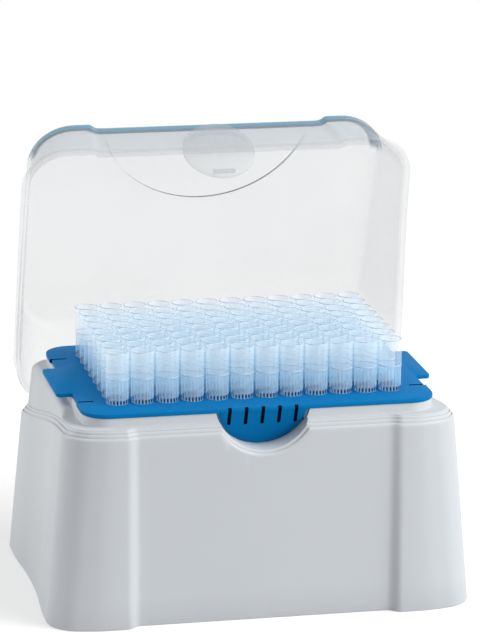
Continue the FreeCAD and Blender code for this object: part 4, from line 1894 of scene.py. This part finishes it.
        # Painted shade: walls that face the front take the lid's darker deep grey.
        front = smooth((-out[:, 1] - self.front_turn) / self.front_spread)
        bend = smooth((-out[:, 1] - self.bend_turn) / self.bend_spread)
        skin = Skin()
        inside = [skin.ring(inner[0], front * self.flange_tint)]
        inside += [skin.ring(loop, front) for loop in inner[1:FOLD_LOOP]]
        inside += [skin.ring(loop, bend) for loop in inner[FOLD_LOOP:-1]] + [skin.ring(inner[-1])]
        for number, (first, second) in enumerate(zip(inside, inside[1:])):
            skin.band(first, second, fold if number >= FOLD_LOOP else plain)
        rows = [inside[0]] + [skin.ring(loop, front * self.flange_tint) for loop in flange]
        for first, second in zip(rows, rows[1:]):
            skin.band(first, second)
        outside = [skin.ring(loop, front) for loop in outer[1:FOLD_LOOP]]
        outside += [skin.ring(loop, bend) for loop in outer[FOLD_LOOP:]]
        skin.band(rows[-1], outside[0])
        for number, (first, second) in enumerate(zip(outside, outside[1:]), 1):
            skin.band(first, second, fold if number >= FOLD_LOOP else plain)
        self.close_top(skin, inside[-1], self.wall, plain)
        self.close_top(skin, outside[-1], 0.0, crease)
        return skin.build("lid_shell", finishes)

    def lean(self, height: np.ndarray) -> np.ndarray:
        """How far the thumb plate has leant into the rack at each height."""
        top = self.datum.plate_top - self.disc_drop + self.disc_radius
        return (top - height) * math.tan(math.radians(self.disc_lean))

    def thumb_boss(self, finishes: Sequence[bpy.types.Material]) -> bpy.types.Object:
        """Round thumb plate: the upper half stands out of the wall, the lower half hangs.

        Args:
            finishes: In the order of LidFinish.

        Returns:
            The plate, closed.
        """
        centre = self.datum.plate_top - self.disc_drop
        turn = arc((0, 0), 1.0, 0, 360, self.disc_steps)
        front = self.disc_front
        slant = self.waistline.front - self.crown.front
        middle = self.datum.plate_top - self.waist_drop
        height = centre + self.disc_radius * turn[:, 1]
        wall_y = slant * (height - middle) / (self.top - middle) - self.waistline.front
        wall_y += self.waistline.recess + self.disc_sink
        shift = self.lean(height)
        lower = height < self.datum.plate_top - self.rim_drop
        back = np.where(lower, self.wall, np.maximum(wall_y - front - shift, self.wall))

        def loop(radius: float, y: Union[float, np.ndarray]) -> np.ndarray:
            """One ring round the boss's own axis."""
            level = centre + turn[:, 1] * radius
            return np.column_stack([turn[:, 0] * radius, front + self.lean(level) + y, level])

        r, inner = self.disc_radius, self.disc_radius - self.wall
        skin = Skin()
        loops = [
            loop(r - self.disc_round, 0.0),
            loop(r - self.disc_middle, self.disc_middle),
            loop(r, self.disc_round),
            loop(r, back),
            loop(inner, back),
            loop(inner - self.disc_draft, self.wall - self.disc_draft / 2),
        ]
        # The boss takes part of the front walls' painted shade.
        skin.solid(loops, LidFinish.PLAIN, self.disc_tint)
        return skin.build("lid_thumb_boss", finishes)

    def grip_rib(self, finishes: Sequence[bpy.types.Material]) -> bpy.types.Object:
        """Small rib near the foot of the thumb plate.

        Args:
            finishes: In the order of LidFinish.

        Returns:
            The rib, closed.
        """
        length, proud, height = self.rib
        low = self.datum.plate_top - self.disc_drop - self.disc_radius + self.rib_foot
        outline = bar((-length / 2, length / 2), (low, low + height), self.rib_corner)
        skin = Skin()
        loops = []
        for flat in slab_loops(outline, 0.0, proud + self.rib_sink, self.rib_edge):
            depth = self.disc_front + self.lean(flat[:, 1]) + self.rib_sink - flat[:, 2]
            loops.append(upright(flat, depth))
        skin.solid(loops, LidFinish.FOLD, self.rib_tint)
        return skin.build("lid_grip_rib", finishes)

    def ear(self, side: Side, finishes: Sequence[bpy.types.Material]) -> bpy.types.Object:
        """Hinge ear with its pin stubs.

        Args:
            side: Which end of the rack it is at.
            finishes: In the order of LidFinish.

        Returns:
            The ear, with each stub as a closed mesh of its own.
        """
        y, z = self.datum.hinge
        x = side.value * self.hinge_x
        back, near = self.waistline.back, self.waistline.back - self.strap_width
        start = math.degrees(math.acos((near - y) / self.knuckle))
        finish = math.degrees(math.acos((back - y) / self.knuckle))
        knuckle = whole_arc((y, z), self.knuckle, start, 360 - start + finish, 30)
        outline = np.vstack([knuckle, [(back, self.ear_top), (near, self.ear_top)]])
        half = self.ear_width / 2
        skin = Skin()
        flats = slab_loops(outline, -half, half, self.ear_edge)
        skin.solid([np.column_stack([flat[:, 2] + x, flat[:, 0], flat[:, 1]]) for flat in flats])
        stub = arc((y, z), self.pin, 0, 360, 24)
        for hand in Side:
            ends = sorted(x + hand.value * reach for reach in (half - self.pin_lap, half + self.pin_reach))
            skin.solid([np.column_stack([np.full(len(stub), end), stub]) for end in ends])
        return skin.build(f"lid_ear_{side.name.lower()}", finishes)

    def make(self, base: BaseShell, finishes: Sequence[bpy.types.Material]) -> None:
        """Builds the lid and puts it at its open stop.

        Args:
            base: The base, whose ledge the rim follows.
            finishes: In the order of LidFinish.
        """
        shell = self.turned(self.shell(base, finishes))
        soften(shell)
        report(shell, "lid", ["lid"])
        parts = [self.thumb_boss(finishes), self.grip_rib(finishes)]
        parts += [self.ear(side, finishes) for side in Side]
        for part in parts:
            soften(self.turned(part))
            report(part, "lid", [])


# ---- studio ---------------------------------------------------------------
@dataclass(frozen=True)
class Lamp:
    """One square soft lamp.

    Args:
        name: The lamp's name.
        place: Where it hangs, in metres.
        side: Its side, in metres.
        power: Its power, in watts.
    """

    name: str
    place: tuple[float, float, float]
    side: float
    power: float

    def hang(self, aim: Sequence[float]) -> None:
        """Hangs the lamp.

        Args:
            aim: What it points at.
        """
        data = bpy.data.lights.new(self.name, "AREA")
        data.size = self.side
        data.energy = self.power
        lamp = bpy.data.objects.new(self.name, data)
        lamp.location = self.place
        lamp.rotation_euler = (Vector(aim) - Vector(self.place)).to_track_quat("-Z", "Y").to_euler()
        bpy.context.scene.collection.objects.link(lamp)


@dataclass
class Studio:
    """Pale floor, soft lamps, white surround and the camera.

    Args:
        eye: Where the camera stands, in metres.
        turn: How far it looks to the right of straight ahead, in degrees.
        pitch: How far it looks down, in degrees.
        roll: How far it is rolled, in degrees.
        lens: Its focal length, in millimetres.
        film: The longer side of its frame, in millimetres.
        aim: What the lamps point at, in metres.
        lamps: The lamps.
        floor_side: Side of the floor, in metres.
        floor_clear: How far from the middle the floor starts to fade, in metres.
        floor_gone: How far from the middle it has faded out, in metres.
        floor_greys: Darkest and palest grey of the floor.
        floor_drift: Fineness of the floor's wandering grey.
        floor_glow: Light that the floor adds where the camera looks.
        surround: Strength of the surround as a lamp.
        clear_walls: How many clear walls in a row a ray may cross.
    """

    eye: tuple[float, float, float] = (-0.27141, -1.25336, 0.43858)
    turn: float = 12.28
    pitch: float = 14.95
    roll: float = 0.48
    lens: float = 206.2
    film: float = 36.0
    aim: tuple[float, float, float] = (0.0, 0.0, 0.06)
    lamps: tuple[Lamp, ...] = (
        Lamp("key", (0.85, -0.35, 1.1), side=0.7, power=14.0),
        Lamp("front", (0.9, -1.1, 0.5), side=0.9, power=11.0),
        Lamp("left", (-1.2, 0.45, 0.5), side=0.6, power=9.0),
    )
    floor_side: float = 1.4
    floor_clear: float = 0.26
    floor_gone: float = 0.46
    floor_greys: tuple[float, float] = (0.61, 0.63)
    floor_drift: float = 0.6
    floor_glow: float = 0.4
    surround: float = 0.42
    clear_walls: int = 40

    def camera(self) -> None:
        """Makes the camera and looks through it."""
        yaw, down, roll = (math.radians(a) for a in (self.turn, self.pitch, self.roll))
        ahead = Vector((math.sin(yaw) * math.cos(down), math.cos(yaw) * math.cos(down), -math.sin(down)))
        level = Vector((math.cos(yaw), -math.sin(yaw), 0.0))
        above = level.cross(ahead)
        right = level * math.cos(roll) + above * math.sin(roll)
        up = above * math.cos(roll) - level * math.sin(roll)
        data = bpy.data.cameras.new("camera")
        data.lens = self.lens
        data.sensor_width = self.film
        camera = bpy.data.objects.new("camera", data)
        bpy.context.scene.collection.objects.link(camera)
        turned = Matrix((right, up, -ahead)).transposed().to_4x4()
        camera.matrix_world = Matrix.Translation(self.eye) @ turned
        bpy.context.scene.camera = camera

    def seen(self, graph: Graph) -> Value:
        """One where the camera looks, straight on or by way of gloss or clear plastic."""
        path = graph.add("ShaderNodeLightPath", {}, {}).outputs
        return Value(graph, path["Is Camera Ray"]) + path["Is Glossy Ray"] + path["Is Transmission Ray"]

    def floor(self) -> None:
        """Lays the floor."""
        graph = Graph(bpy.data.materials.new("studio_floor"))
        place = graph.add("ShaderNodeTexCoord", {}, {}).outputs["Object"]
        reach = graph.add("ShaderNodeVectorMath", {"operation": "LENGTH"}, {0: place}).outputs["Value"]
        span = {"From Min": self.floor_clear, "From Max": self.floor_gone, "To Min": 1.0, "To Max": 0.0}
        fade = graph.add("ShaderNodeMapRange", {"interpolation_type": "SMOOTHSTEP"}, {"Value": reach, **span})
        drift = graph.noise(self.floor_drift, 2.0)
        seen = self.seen(graph)
        dark, pale = (opaque((grey, grey, grey)) for grey in self.floor_greys)
        paint = graph.shade(
            {
                "Base Color": graph.blend(drift, dark, pale),
                "Roughness": 0.9,
                "Specular IOR Level": 0.0,
                "Emission Color": graph.blend(seen, BLACK, WHITE),
                "Emission Strength": self.floor_glow,
                "Alpha": fade.outputs["Result"],
            }
        )
        half = self.floor_side / 2 / MM
        corners = np.array([(-half, -half), (half, -half), (half, half), (-half, half)])
        skin = Skin()
        skin.face(skin.ring(at_height(corners, 0.0)))
        floor = skin.build("studio_floor", [paint])

    def world(self) -> None:
        """Surrounds everything with white, brighter to the camera than to the object."""
        world = bpy.data.worlds.new("surround")
        graph = Graph(world)
        lit = graph.add("ShaderNodeBackground", {}, {"Color": WHITE, "Strength": self.surround})
        shown = graph.add("ShaderNodeBackground", {}, {"Color": WHITE, "Strength": 1.0})
        links = {0: self.seen(graph), 1: lit.outputs[0], 2: shown.outputs[0]}
        mix = graph.add("ShaderNodeMixShader", {}, links)
        graph.add("ShaderNodeOutputWorld", {}, {"Surface": mix.outputs[0]})
        bpy.context.scene.world = world

    def make(self) -> None:
        """Sets up the studio."""
        scene = bpy.context.scene
        scene.view_settings.view_transform = "Standard"
        scene.cycles.transparent_max_bounces = self.clear_walls
        self.camera()
        self.floor()
        for lamp in self.lamps:
            lamp.hang(self.aim)
        self.world()


def main() -> None:
    """Builds the rack and its studio in order; each built piece logs its face count."""
    logging.basicConfig(level=logging.INFO, format="%(name)s %(message)s")
    datum = Datum.from_frame(frame)
    Studio().make()
    base = BaseShell(datum)
    base.make(GREY.material())
    TipPlate(datum).make(BLUE.material(), SLOT.material())
    Tips(datum).make([finish.material() for finish in (TIP, TIP_BORE, TIP_RIM, TIP_FOOT)])
    Lid(datum).make(base, [LID.material(), FOLD.material(), CREASE.material()])


if __name__ == "__main__":
    main()
